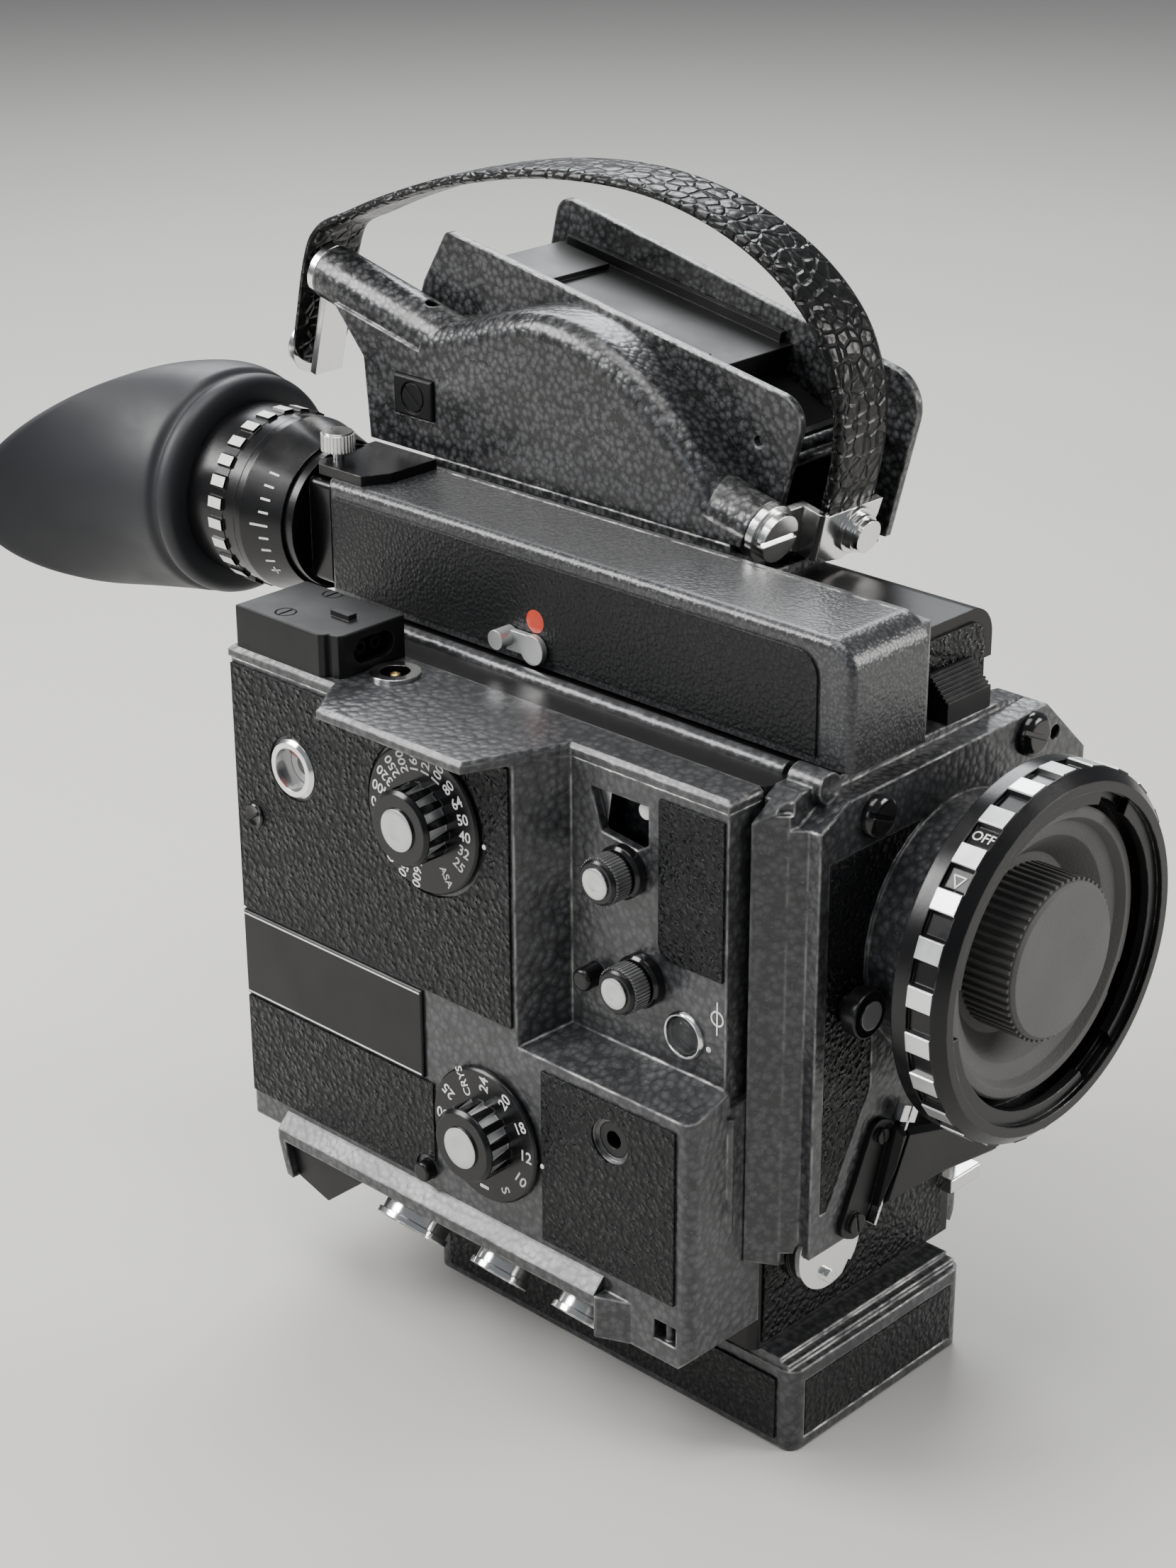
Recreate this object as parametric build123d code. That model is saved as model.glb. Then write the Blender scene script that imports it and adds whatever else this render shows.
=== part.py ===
from build123d import *
import math
import os

os.makedirs("parts", exist_ok=True)

# Frame: millimetres. X across the camera (the dials are on the -X side, the film door on the
# +X side), -Y is where the lens looks, +Z is up. Origin: the mouth of the tripod thread, in
# the middle of the flat underside of the foot.

# ---- driving dimensions ----------------------------------------------------------------
FOOT_W = 75.0
FOOT_L = 140.0
FOOT_H = 28.4
BODY_X0 = -40.0          # outer face of the mechanism side
BODY_X1 = 46.0           # plane the film door closes on
BODY_Y0 = -57.5
BODY_Y1 = 117.5
BODY_TOP = 197.0
LOBE_X0 = 12.0           # the taller film side starts here
LOBE_X1 = 53.0
LOBE_TOP = 221.5
WALL = 3.0
PARTITION_X = 3.0        # wall between mechanism and film chamber
HOUSE_X = -67.7          # outer face of the electronics housing
RECESS_X = -52.9         # floor of the recess with the small controls
SHELF_X = -81.6          # edge of the overhanging top shelf
SHELF_T = 3.2
BLOCK_Z0 = 36.0          # underside of the front switch block
HOUSE_Z0 = 47.0
LEDGE_Z = 111.0          # recess sill at the outer face
LEDGE_ZI = 115.6         # and at the recess floor
LENS_X = 19.3
LENS_Z = 144.3
PLATE_Y = -73.8          # front face of the front plate
MOUNT_Y = -93.0          # front of the boss under the lens mount
LEATHER = 0.7
TUBE_X0 = -22.5
TUBE_X1 = 8.0
TUBE_Y0 = -70.5
TUBE_Y1 = 124.0
TUBE_Z0 = 198.4
TUBE_Z1 = 232.9
EYE_X = -7.4
EYE_Z = 216.0
TILT = 13.6              # the magazine saddle rises to the rear
AXIS_X = 21.7            # carrying-strap pivot line
AXIS_Y = -3.3
AXIS_Z = 236.6
CAST_L = 175.5
CAST_R = 8.4
STRAP_X = 48.8
STRAP_W = 22.0
STRAP_T = 3.0


# ---- helpers -----------------------------------------------------------------------------
def box(x0, x1, y0, y1, z0, z1):
    return Pos((x0 + x1) / 2, (y0 + y1) / 2, (z0 + z1) / 2) * Box(x1 - x0, y1 - y0, z1 - z0)


def rod_x(x0, x1, y, z, r):
    return Pos((x0 + x1) / 2, y, z) * Rot(0, 90, 0) * Cylinder(r, x1 - x0)


def rod_y(y0, y1, x, z, r):
    return Pos(x, (y0 + y1) / 2, z) * Rot(90, 0, 0) * Cylinder(r, y1 - y0)


def rod_z(z0, z1, x, y, r):
    return Pos(x, y, (z0 + z1) / 2) * Cylinder(r, z1 - z0)


def prism(plane, points, depth):
    return extrude(plane * make_face(Polyline(*points, close=True)), amount=depth)


def prism_x(points, x0, x1):
    """Outline in (Y, Z) carried from x0 to x1."""
    return prism(Plane.YZ.offset(x0), points, x1 - x0)


def prism_y(points, y0, y1):
    """Outline in (X, Z) carried from y0 to y1."""
    return prism(Plane.XZ.offset(-y1), points, y1 - y0)


def prism_z(points, z0, z1):
    """Outline in (X, Y) carried from z0 to z1."""
    return prism(Plane.XY.offset(z0), points, z1 - z0)


def toothed(count, r_out, r_in, share=0.5, start=0.0):
    """Outline of a knurled or castellated wheel, as points round the origin; start is in degrees."""
    points = []
    pitch = 2 * math.pi / count
    for i in range(count):
        for radius, turn in ((r_in, 0.0), (r_out, 0.08), (r_out, share), (r_in, share + 0.08)):
            a = pitch * (i + turn) + math.radians(start)
            points.append((radius * math.cos(a), radius * math.sin(a)))
    return points


def wheel_x(x0, x1, y, z, count, r_out, r_in, share=0.5):
    plane = Plane(origin=(x0, y, z), x_dir=(0, 1, 0), z_dir=(1, 0, 0))
    return prism(plane, toothed(count, r_out, r_in, share), x1 - x0)


def wheel_y(y0, y1, x, z, count, r_out, r_in, share=0.5, start=0.0):
    plane = Plane(origin=(x, y1, z), x_dir=(1, 0, 0), z_dir=(0, -1, 0))
    return prism(plane, toothed(count, r_out, r_in, share, start), y1 - y0)


def wheel_z(z0, z1, x, y, count, r_out, r_in, share=0.5):
    plane = Plane(origin=(x, y, z0), x_dir=(1, 0, 0), z_dir=(0, 0, 1))
    return prism(plane, toothed(count, r_out, r_in, share), z1 - z0)


def round_edges(solid, radius, keep):
    """Fillets the edges the test picks out; leaves the solid as it is when none is picked."""
    edges = [e for e in solid.edges() if keep(e)]
    return fillet(edges, radius) if edges else solid


def along(edge, axis):
    d = edge.tangent_at(0.5)
    return edge.geom_type == GeomType.LINE and abs(getattr(d, axis)) > 0.999


def join(pieces):
    out = None
    for piece in pieces:
        out = piece if out is None else out + piece
    return out


def slab(x0, x1, u0, u1, v0, v1):
    """Block in the tilted frame of the saddle: u runs up to the rear, v stands square to it."""
    return saddle([(u0, v0), (u1, v0), (u1, v1), (u0, v1)], x0, x1)


SADDLE = Plane(
    origin=(0, AXIS_Y, AXIS_Z),
    x_dir=(0, math.cos(math.radians(TILT)), math.sin(math.radians(TILT))),
    z_dir=(1, 0, 0),
)


def saddle(points, x0, x1):
    return prism(SADDLE.offset(x0), points, x1 - x0)


def saddle_point(u, v):
    """(Y, Z) of a point given in the saddle's tilted frame."""
    c = math.cos(math.radians(TILT))
    s = math.sin(math.radians(TILT))
    return (AXIS_Y + u * c - v * s, AXIS_Z + u * s + v * c)


def rod_u(u0, u1, x, v, r):
    """Rod lying along the saddle's u direction."""
    y, z = saddle_point((u0 + u1) / 2, v)
    return Pos(x, y, z) * Rot(TILT, 0, 0) * Rot(90, 0, 0) * Cylinder(r, u1 - u0)


def rod_v(v0, v1, x, u, r):
    y, z = saddle_point(u, (v0 + v1) / 2)
    return Pos(x, y, z) * Rot(TILT, 0, 0) * Cylinder(r, v1 - v0)


def gather(pieces):
    """Several loose solids written as one node."""
    return Compound(children=[s for piece in pieces for s in piece.solids()])


PARTS = {}


# ---- foot ----------------------------------------------------------------------------------
TRIPODS = (("quarter", 0.0, 0.0, 8.0, 2.6), ("three_eighths", 0.0, 38.0, 10.0, 4.0))
BUSH_H = 14.0
foot = box(-FOOT_W / 2, FOOT_W / 2, -FOOT_L / 2, FOOT_L / 2, 0, 25.6)
foot = round_edges(foot, 4.0, lambda e: along(e, "Z"))
foot += box(-FOOT_W / 2 + 0.6, FOOT_W / 2 - 1, -FOOT_L / 2 + 2.4, FOOT_L / 2 - 2, 25.6, 27.2)
foot += box(-FOOT_W / 2 + 0.6, FOOT_W / 2 - 1, -FOOT_L / 2 + 5.2, FOOT_L / 2 - 4, 27.2, FOOT_H)
foot -= box(-FOOT_W / 2 + 5, FOOT_W / 2 - 5, -FOOT_L / 2 - 1, -FOOT_L / 2 + LEATHER, 3.0, 21.5)
bushes = []
for label, bx, by, r_bush, r_hole in TRIPODS:
    foot -= rod_z(-1, BUSH_H + 1, bx, by, r_bush)
    bush = rod_z(0.0, BUSH_H, bx, by, r_bush - 0.3) - rod_z(-1, BUSH_H - 2, bx, by, r_hole)
    bush += rod_z(BUSH_H, BUSH_H + 1, bx, by, 3.0)
    bushes.append(bush)
PARTS["foot_block"] = foot
PARTS["tripod_bushes"] = gather(bushes)

# ---- body shell: mechanism side and film chamber, open towards the film door ---------------
shell = prism_y([(BODY_X0, FOOT_H), (BODY_X1, FOOT_H), (BODY_X1, 206), (LOBE_X1, 206),
                 (LOBE_X1, LOBE_TOP), (LOBE_X0, LOBE_TOP), (LOBE_X0, BODY_TOP),
                 (BODY_X0, BODY_TOP)], BODY_Y0, BODY_Y1)
shell = round_edges(shell, 9.0, lambda e: along(e, "Y") and e.center().X > LOBE_X1 - 1
                    and e.center().Z > LOBE_TOP - 1)
shell = round_edges(shell, 3.0, lambda e: along(e, "Z") and e.center().X < BODY_X0 + 1)
shell -= box(BODY_X0 + WALL, PARTITION_X - WALL, BODY_Y0 + 4, BODY_Y1 - WALL,
             FOOT_H + WALL, BODY_TOP - WALL)
shell -= box(PARTITION_X, BODY_X1 + 9, BODY_Y0 + 4, BODY_Y1 - WALL, FOOT_H + WALL, BODY_TOP - WALL)
shell -= box(LOBE_X0 + WALL, LOBE_X1 - WALL, BODY_Y0 + 4, BODY_Y1 - WALL, 190, LOBE_TOP - WALL)
shell -= rod_y(BODY_Y0 - 1, BODY_Y0 + 6, LENS_X, LENS_Z, 14.0)
SHUTTER_X = 14.0
SHUTTER_Z = 124.0
SHUTTER_R = 31.5
shell -= rod_y(BODY_Y0 - 1, BODY_Y0 + 3.8, SHUTTER_X, SHUTTER_Z, 3.08)
# boss for the round finger lever at the lower front corner
MOON_X = -25.2
MOON_Z = 62.0
MOON_R = 12.6
shell += rod_y(BODY_Y0 - 4.6, BODY_Y0 + 0.5, MOON_X, MOON_Z, 5.0)
shell -= rod_y(BODY_Y0 - 5, BODY_Y0 - 0.5, MOON_X, MOON_Z, 3.08)
SPOOLS = (("supply", 68.2, 147.4), ("takeup", 8.2, 77.7))
SPROCKETS = (("upper", -24.0, 170.0), ("lower", -30.0, 124.0))
for label, sy, sz in SPOOLS:
    shell += rod_x(PARTITION_X, PARTITION_X + 5, sy, sz, 7.0)
    shell -= rod_x(PARTITION_X - WALL - 1, PARTITION_X + 6, sy, sz, 3.1)
for label, sy, sz in SPROCKETS:
    shell -= rod_x(PARTITION_X - WALL - 1, PARTITION_X + 6, sy, sz, 2.6)
MOTOR_X = -18.0
MOTOR_Z = 118.0
PARTS["body_shell"] = shell

# ---- film door with its latch ----------------------------------------------------------------
door = prism_y([(BODY_X1 + 0.2, FOOT_H + 3), (BODY_X1 + 3, FOOT_H + 1), (BODY_X1 + 7, FOOT_H + 8),
                (BODY_X1 + 7, 205.5), (BODY_X1 + 0.2, 205.5)], BODY_Y0 + 1.0, BODY_Y1)
door = round_edges(door, 3.5, lambda e: along(e, "Z") and e.center().X > BODY_X1 + 6)
door -= box(BODY_X1 - 1, BODY_X1 + 4.5, BODY_Y0 + 5.5, BODY_Y1 - WALL - 1, FOOT_H + 8, 202)
LATCH_Y = 30.0
LATCH_Z = 116.0
door -= rod_x(BODY_X1 - 1, BODY_X1 + 9, LATCH_Y, LATCH_Z, 5.1)
door -= rod_x(BODY_X1 + 6.2, BODY_X1 + 9, LATCH_Y, LATCH_Z, 13.0)
PARTS["film_door"] = door
latch = rod_x(BODY_X1 + 2.0, BODY_X1 + 7, LATCH_Y, LATCH_Z, 5.0)
latch += rod_x(BODY_X1 + 6.4, BODY_X1 + 8.4, LATCH_Y, LATCH_Z, 12.6)
latch += box(BODY_X1 + 8.4, BODY_X1 + 13, LATCH_Y - 2.5, LATCH_Y + 2.5, LATCH_Z - 11, LATCH_Z + 11)
latch += box(BODY_X1 + 1.0, BODY_X1 + 2.6, LATCH_Y - 4, LATCH_Y + 14, LATCH_Z - 4, LATCH_Z + 4)
PARTS["door_latch"] = latch

# ---- electronics housing on the -X side -----------------------------------------------------
ASA_Y = 36.9
ASA_Z = 168.5
FPS_Y = 15.6
FPS_Z = 79.9
METER_Y = 90.6
METER_Z = 166.9
KNOBS = (("upper", -22.1, 167.3), ("lower", -28.7, 138.0))
WALL_H = 2.8
REAR_Y = 117.0
STEP_Y = 4.1             # outer end of the slanted recess wall
STEP_YI = -2.5           # its inner end
FACE_Y = -59.0           # front face of the switch block
LID_Z = BODY_TOP - SHELF_T
upper = [(BODY_X0, REAR_Y), (HOUSE_X, REAR_Y), (HOUSE_X, STEP_Y), (RECESS_X, STEP_YI),
         (RECESS_X, FACE_Y + 2), (BODY_X0, FACE_Y + 2)]
lower = [(BODY_X0, REAR_Y), (HOUSE_X, REAR_Y), (HOUSE_X, FACE_Y), (BODY_X0, FACE_Y)]
house = prism_z(upper, LEDGE_Z - 10, LID_Z)
house += prism_z(lower, HOUSE_Z0, LEDGE_Z)
# the sill slopes from the recess floor down to the outer face
house += prism_y([(HOUSE_X, LEDGE_Z - 1), (HOUSE_X, LEDGE_Z), (RECESS_X, LEDGE_ZI),
                  (RECESS_X, LEDGE_Z - 1)], FACE_Y, STEP_Y)
house += prism_x([(FACE_Y, HOUSE_Z0 + 1), (FACE_Y, BLOCK_Z0 + 4), (FACE_Y + 4, BLOCK_Z0),
                  (FACE_Y + 31, BLOCK_Z0), (FACE_Y + 31, HOUSE_Z0 + 1)], HOUSE_X, BODY_X0)
house = round_edges(house, 3.6, lambda e: along(e, "Z") and e.center().X < HOUSE_X + 0.5
                    and e.center().Y < FACE_Y + 1)
house = round_edges(house, 2.2, lambda e: along(e, "Z") and e.center().X < HOUSE_X + 0.5
                    and e.center().Y > REAR_Y - 1)
# flared rail along the lower edge; the block swells out to meet its front end
RAIL_OUT = HOUSE_X - 4.2
RAIL_TOP = HOUSE_Z0 + 1.8
RAIL_LOW = HOUSE_Z0 - 1.6
RAIL_Y1 = 101.0
house += prism_z([(HOUSE_X + 1, FACE_Y + 21), (HOUSE_X, FACE_Y + 21), (RAIL_OUT, FACE_Y + 30.2),
                  (RAIL_OUT, FACE_Y + 31), (HOUSE_X + 1, FACE_Y + 31)], BLOCK_Z0, RAIL_TOP)
rail = prism_y([(HOUSE_X - 0.01, HOUSE_Z0 + 6.0), (RAIL_OUT, RAIL_TOP), (RAIL_OUT, RAIL_LOW),
                (-44, RAIL_LOW), (-44, HOUSE_Z0 - 0.02), (HOUSE_X - 0.01, HOUSE_Z0 - 0.02)],
               FACE_Y + 31.2, RAIL_Y1)
rail += prism_x([(RAIL_Y1, RAIL_LOW + 0.1), (RAIL_Y1 - 3.2, 34.6), (RAIL_Y1 - 5.6, 34.0),
                 (RAIL_Y1 - 2.4, RAIL_LOW + 0.1)], RAIL_OUT, -47.0)
# hollow inside
upper_in = [(BODY_X0 - 2, REAR_Y - WALL_H), (HOUSE_X + WALL_H, REAR_Y - WALL_H),
            (HOUSE_X + WALL_H, STEP_Y + 1), (RECESS_X + WALL_H, STEP_YI + 2),
            (RECESS_X + WALL_H, FACE_Y + 5), (BODY_X0 - 2, FACE_Y + 5)]
house -= prism_z(upper_in, LEDGE_Z - 3, LID_Z - 2.5)
house -= box(HOUSE_X + WALL_H, BODY_X0 - 2, FACE_Y + 4, REAR_Y - WALL_H, HOUSE_Z0 + 3, LEDGE_Z - 3)
# holes for the dials, meter, knobs and buttons
house -= rod_x(HOUSE_X - 5, HOUSE_X + 5, ASA_Y, ASA_Z, 4.1)
house -= rod_x(HOUSE_X - 5, HOUSE_X + 5, FPS_Y, FPS_Z, 4.1)
house -= rod_x(HOUSE_X - 5, HOUSE_X + 5, METER_Y, METER_Z, 8.0)
for label, ky, kz in KNOBS:
    house -= rod_x(RECESS_X - 5, RECESS_X + 5, ky, kz, 3.1)
TEST_Y = -11.5
TEST_Z = 133.5
house -= rod_x(RECESS_X - 5, RECESS_X + 5, TEST_Y, TEST_Z, 3.3)
LOCK_Y = 40.0
LOCK_Z = 58.6
house -= rod_x(HOUSE_X - 5, HOUSE_X + 5, LOCK_Y, LOCK_Z, 3.1)
LAMP_Y = -43.0
LAMP_Z = 126.6
house -= rod_x(RECESS_X - 1.2, RECESS_X + 5, LAMP_Y, LAMP_Z, 5.5)
WINDOW = (-30.0, -9.5, 175.5, 187.5)
house -= prism_x([(WINDOW[0], WINDOW[2] + 1), (WINDOW[0] + 4, WINDOW[2] - 1.5),
                  (WINDOW[1] - 4, WINDOW[2]), (WINDOW[1], WINDOW[3]), (WINDOW[0], WINDOW[3])],
                 RECESS_X - 1, RECESS_X + 5)
REMOTE_Y = -30.6
REMOTE_Z = 96.1
house -= rod_x(HOUSE_X - 1, HOUSE_X + 7, REMOTE_Y, REMOTE_Z, 2.55)
house -= rod_x(HOUSE_X - 1, HOUSE_X + 1.0, REMOTE_Y, REMOTE_Z, 6.3)
house -= rod_x(HOUSE_X - 1, HOUSE_X + 9, REMOTE_Y, REMOTE_Z, 5.2)
bush = rod_x(HOUSE_X + 1.0, HOUSE_X + 9, REMOTE_Y, REMOTE_Z, 5.1)
bush -= rod_x(HOUSE_X - 1, HOUSE_X + 7.5, REMOTE_Y, REMOTE_Z, 2.55)
PARTS["remote_bush"] = bush
LUG_Y = -50.5
LUG_Z = 45.5
house -= box(HOUSE_X - 1, HOUSE_X + 6, LUG_Y - 3.5, LUG_Y + 4.5, LUG_Z - 3.5, LUG_Z + 2.6)
house += rod_z(LUG_Z - 4, LUG_Z + 3, HOUSE_X + 2.4, LUG_Y + 0.5, 1.2)
# rib down the front face of the switch block
house += rod_z(74, 108, -52.8, FACE_Y, 1.1)

lid = prism_z([(BODY_X0, REAR_Y), (HOUSE_X, REAR_Y), (HOUSE_X, 73.8), (SHELF_X, 64.2),
               (SHELF_X, 9.2), (RECESS_X, STEP_YI), (RECESS_X, FACE_Y + 2),
               (BODY_X0, FACE_Y + 2)], LID_Z, BODY_TOP)
lid = chamfer([e for e in lid.edges() if e.center().Z > BODY_TOP - 0.1
               and e.center().X < BODY_X0 - 1 and abs(e.center().X - BODY_X0) > 2], 1.1)
TOP_SOCKET = (-51.0, 66.0)
lid -= rod_z(LID_Z - 1, BODY_TOP + 1, TOP_SOCKET[0], TOP_SOCKET[1], 6.1)
house -= rod_z(LID_Z - 5, LID_Z + 1, TOP_SOCKET[0], TOP_SOCKET[1], 6.1)
PARTS["side_housing"] = house
PARTS["housing_lid"] = lid

# ---- leather panels fixed to the castings (one node, flat sheets) -----------------------------
hx0 = HOUSE_X - LEATHER
sheets = []
sheets.append(box(hx0, HOUSE_X, 5.5, 115.5, 116.3, LID_Z - 1.5))
sheets.append(box(hx0, HOUSE_X, 37.0, 115.5, 55.2, 87.0))
sheets.append(box(hx0, HOUSE_X, -53.5, -5.4, 55.2, 107.6))
panel_meter = rod_x(hx0 - 1, HOUSE_X + 1, METER_Y, METER_Z, 9.6)
panel_asa = rod_x(hx0 - 1, HOUSE_X + 1, ASA_Y, ASA_Z, 22.4)
sheets[0] -= panel_meter + panel_asa
sheets[1] -= rod_x(hx0 - 1, HOUSE_X + 1, FPS_Y, FPS_Z, 21.2)
sheets[1] -= rod_x(hx0 - 1, HOUSE_X + 1, LOCK_Y, LOCK_Z, 4.6)
sheets[2] -= rod_x(hx0 - 1, HOUSE_X + 1, REMOTE_Y, REMOTE_Z, 6.6)
recess_sheet = prism_x([(-56.0, 146.4), (-37.2, 146.4), (-35.0, 147.2), (-34.0, 149.6), (-34.0, 191.0),
                        (-56.0, 191.0)], RECESS_X - LEATHER, RECESS_X)
sheets.append(recess_sheet)
sheets.append(box(-FOOT_W / 2 + 5.4, FOOT_W / 2 - 5.4, -FOOT_L / 2, -FOOT_L / 2 + LEATHER, 3.4, 21.1))
sheets.append(box(-FOOT_W / 2 - LEATHER, -FOOT_W / 2, -FOOT_L / 2 + 6, FOOT_L / 2 - 6, 2.5, 22))
sheets.append(box(FOOT_W / 2, FOOT_W / 2 + LEATHER, -FOOT_L / 2 + 6, FOOT_L / 2 - 6, 2.5, 22))
front_sheet = prism_y([(-36.5, FOOT_H + 2), (42, FOOT_H + 2), (42, 79), (-9.5, 79), (-19.3, 59.5),
                       (-36.5, 59.5)], BODY_Y0 - LEATHER, BODY_Y0)
sheets.append(front_sheet - rod_y(BODY_Y0 - 2, BODY_Y0 + 1, MOON_X, MOON_Z, 5.3))
lobe_sheet = box(LOBE_X0 + 2.5, LOBE_X1 - 4, BODY_Y0 - LEATHER, BODY_Y0, 198.5, LOBE_TOP - 3.5)
lobe_sheet = round_edges(lobe_sheet, 6.0, lambda e: along(e, "Y") and e.center().X > LOBE_X1 - 6
                         and e.center().Z > 210)
sheets.append(lobe_sheet)
LEVER_Y = 39.0
LEVER_Z = 203.8
tube_sheet = box(TUBE_X0 - LEATHER, TUBE_X0, TUBE_Y0 + 11, TUBE_Y1 - 3, TUBE_Z0 + 2.5, TUBE_Z1 - 4.5)
tube_sheet -= rod_x(TUBE_X0 - 2, TUBE_X0 + 1, LEVER_Y, LEVER_Z, 2.4)
sheets.append(round_edges(tube_sheet, 7.0, lambda e: along(e, "X") and e.center().Y < TUBE_Y0 + 12
                          and e.center().Z > TUBE_Z1 - 6))
rear_sheet = box(BODY_X0 + 3, BODY_X1 - 3, BODY_Y1, BODY_Y1 + LEATHER, FOOT_H + 4, BODY_TOP - 4)
sheets.append(rear_sheet)
house_rear = box(HOUSE_X + 4, BODY_X0 - 2, REAR_Y, REAR_Y + LEATHER, HOUSE_Z0 + 6, LID_Z - 4)
sheets.append(house_rear)

# ---- dials ---------------------------------------------------------------------------------
def dial(y, z, r_disc, x_face):
    """Engraved disc with a castellated knob; the shaft runs back through the housing wall."""
    disc = rod_x(x_face - 1.8, x_face, y, z, r_disc)
    disc = chamfer([e for e in disc.edges() if e.center().X < x_face - 1.7], 0.6)
    knob = wheel_x(x_face - 9.2, x_face - 1.8, y, z, 14, 10.9, 9.7, 0.5)
    rim = rod_x(x_face - 10.4, x_face - 9.0, y, z, 10.9)
    rim = chamfer([e for e in rim.edges() if e.center().X < x_face - 10], 1.0)
    cap = rod_x(x_face - 10.9, x_face - 10.2, y, z, 6.1)
    shaft = rod_x(x_face, x_face + 9, y, z, 4.0)
    return disc + knob + rim + cap + shaft


PARTS["asa_dial"] = dial(ASA_Y, ASA_Z, 21.2, HOUSE_X - 0.2)
PARTS["fps_dial"] = dial(FPS_Y, FPS_Z, 20.0, HOUSE_X - 0.2)

for label, ky, kz in KNOBS:
    collar = rod_x(RECESS_X - 3.6, RECESS_X - 0.3, ky, kz, 7.4)
    collar = chamfer([e for e in collar.edges() if e.center().X < RECESS_X - 3.5], 0.8)
    neck = rod_x(RECESS_X - 5.0, RECESS_X - 3.6, ky, kz, 5.2)
    grip = wheel_x(RECESS_X - 10.2, RECESS_X - 5.0, ky, kz, 44, 6.7, 6.25, 0.5)
    front = rod_x(RECESS_X - 11.4, RECESS_X - 10.2, ky, kz, 6.2)
    front = chamfer([e for e in front.edges() if e.center().X < RECESS_X - 11.3], 0.7)
    cap = rod_x(RECESS_X - 11.8, RECESS_X - 11.3, ky, kz, 4.3)
    shaft = rod_x(RECESS_X - 0.3, RECESS_X + 7, ky, kz, 3.0)
    PARTS["control_knob_" + label] = collar + neck + grip + front + cap + shaft

button = rod_x(RECESS_X - 6.5, RECESS_X + 6, TEST_Y, TEST_Z, 3.2)
button = round_edges(button, 1.2, lambda e: e.center().X < RECESS_X - 6)
button += rod_x(RECESS_X + 4, RECESS_X + 6, TEST_Y, TEST_Z, 4.4)
PARTS["test_button"] = button
lock = rod_x(HOUSE_X - 3.6, HOUSE_X + 6, LOCK_Y, LOCK_Z, 3.0)
lock = round_edges(lock, 0.9, lambda e: e.center().X < HOUSE_X - 3)
lock += rod_x(HOUSE_X + 4.5, HOUSE_X + 6, LOCK_Y, LOCK_Z, 4.4)
PARTS["lock_button"] = lock

# battery meter: chrome bezel, glass, needle, scale drum
bezel = rod_x(HOUSE_X - 1.6, HOUSE_X, METER_Y, METER_Z, 8.9)
bezel = chamfer([e for e in bezel.edges() if e.center().X < HOUSE_X - 1.5], 1.0)
bezel += rod_x(HOUSE_X, HOUSE_X + 9, METER_Y, METER_Z, 7.7)
bezel -= rod_x(HOUSE_X - 3, HOUSE_X + 6, METER_Y, METER_Z, 6.3)
PARTS["meter_bezel"] = bezel
PARTS["meter_glass"] = rod_x(HOUSE_X + 0.2, HOUSE_X + 1.4, METER_Y, METER_Z, 6.2)
needle = box(HOUSE_X + 3.2, HOUSE_X + 3.8, METER_Y - 0.35, METER_Y + 0.35, METER_Z - 1, METER_Z + 4.9)
needle += rod_x(HOUSE_X + 2.8, HOUSE_X + 5.8, METER_Y, METER_Z, 1.0)
PARTS["meter_needle"] = needle
plate = box(HOUSE_X - 1.1, HOUSE_X, 40.4, 115.4, 88.0, 115.2)
PARTS["name_plate"] = chamfer([e for e in plate.edges() if e.center().X < HOUSE_X - 1], 0.4)
lamp = rod_x(RECESS_X - 2.6, RECESS_X + 1.5, LAMP_Y, LAMP_Z, 5.2)
PARTS["signal_lamp"] = round_edges(lamp, 2.4, lambda e: e.center().X < RECESS_X - 2.5)

# round power socket in the lid
ring = rod_z(BODY_TOP - 6, BODY_TOP + 0.8, TOP_SOCKET[0], TOP_SOCKET[1], 5.8)
ring += rod_z(BODY_TOP, BODY_TOP + 1.0, TOP_SOCKET[0], TOP_SOCKET[1], 7.2)
ring -= rod_z(BODY_TOP - 4, BODY_TOP + 2, TOP_SOCKET[0], TOP_SOCKET[1], 4.2)
ring += rod_z(BODY_TOP - 5, BODY_TOP - 0.6, TOP_SOCKET[0], TOP_SOCKET[1], 1.2)
PARTS["top_socket"] = ring

# two-pin accessory block at the rear of the lid
ACC_Y = 73.6
acc = prism_z([(-40.2, ACC_Y), (-62.4, ACC_Y), (-63.9, ACC_Y + 0.9), (-64.3, ACC_Y + 2.6),
               (-64.3, ACC_Y + 4.0), (-65.6, ACC_Y + 4.6), (-66.6, ACC_Y + 6.0),
               (-66.6, ACC_Y + 40.3), (-40.2, ACC_Y + 40.3)], BODY_TOP, BODY_TOP + 12.5)
acc = round_edges(acc, 0.5, lambda e: e.center().Z > BODY_TOP + 12)
PIN_Z = BODY_TOP + 6.2
acc -= box(-55.2, -47.8, ACC_Y - 1, ACC_Y + 5, PIN_Z - 3.7, PIN_Z + 3.7)
for px in (-55.2, -47.8):
    acc -= rod_y(ACC_Y - 1, ACC_Y + 5, px, PIN_Z, 3.7)
for px in (-54.3, -48.7):
    acc += rod_y(ACC_Y + 2.6, ACC_Y + 5.2, px, PIN_Z, 2.0)
    acc -= rod_y(ACC_Y + 1.0, ACC_Y + 12, px, PIN_Z, 1.1)
acc += box(-54.3, -51.3, 80.6, 88.0, BODY_TOP + 12.4, BODY_TOP + 14.2)
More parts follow.
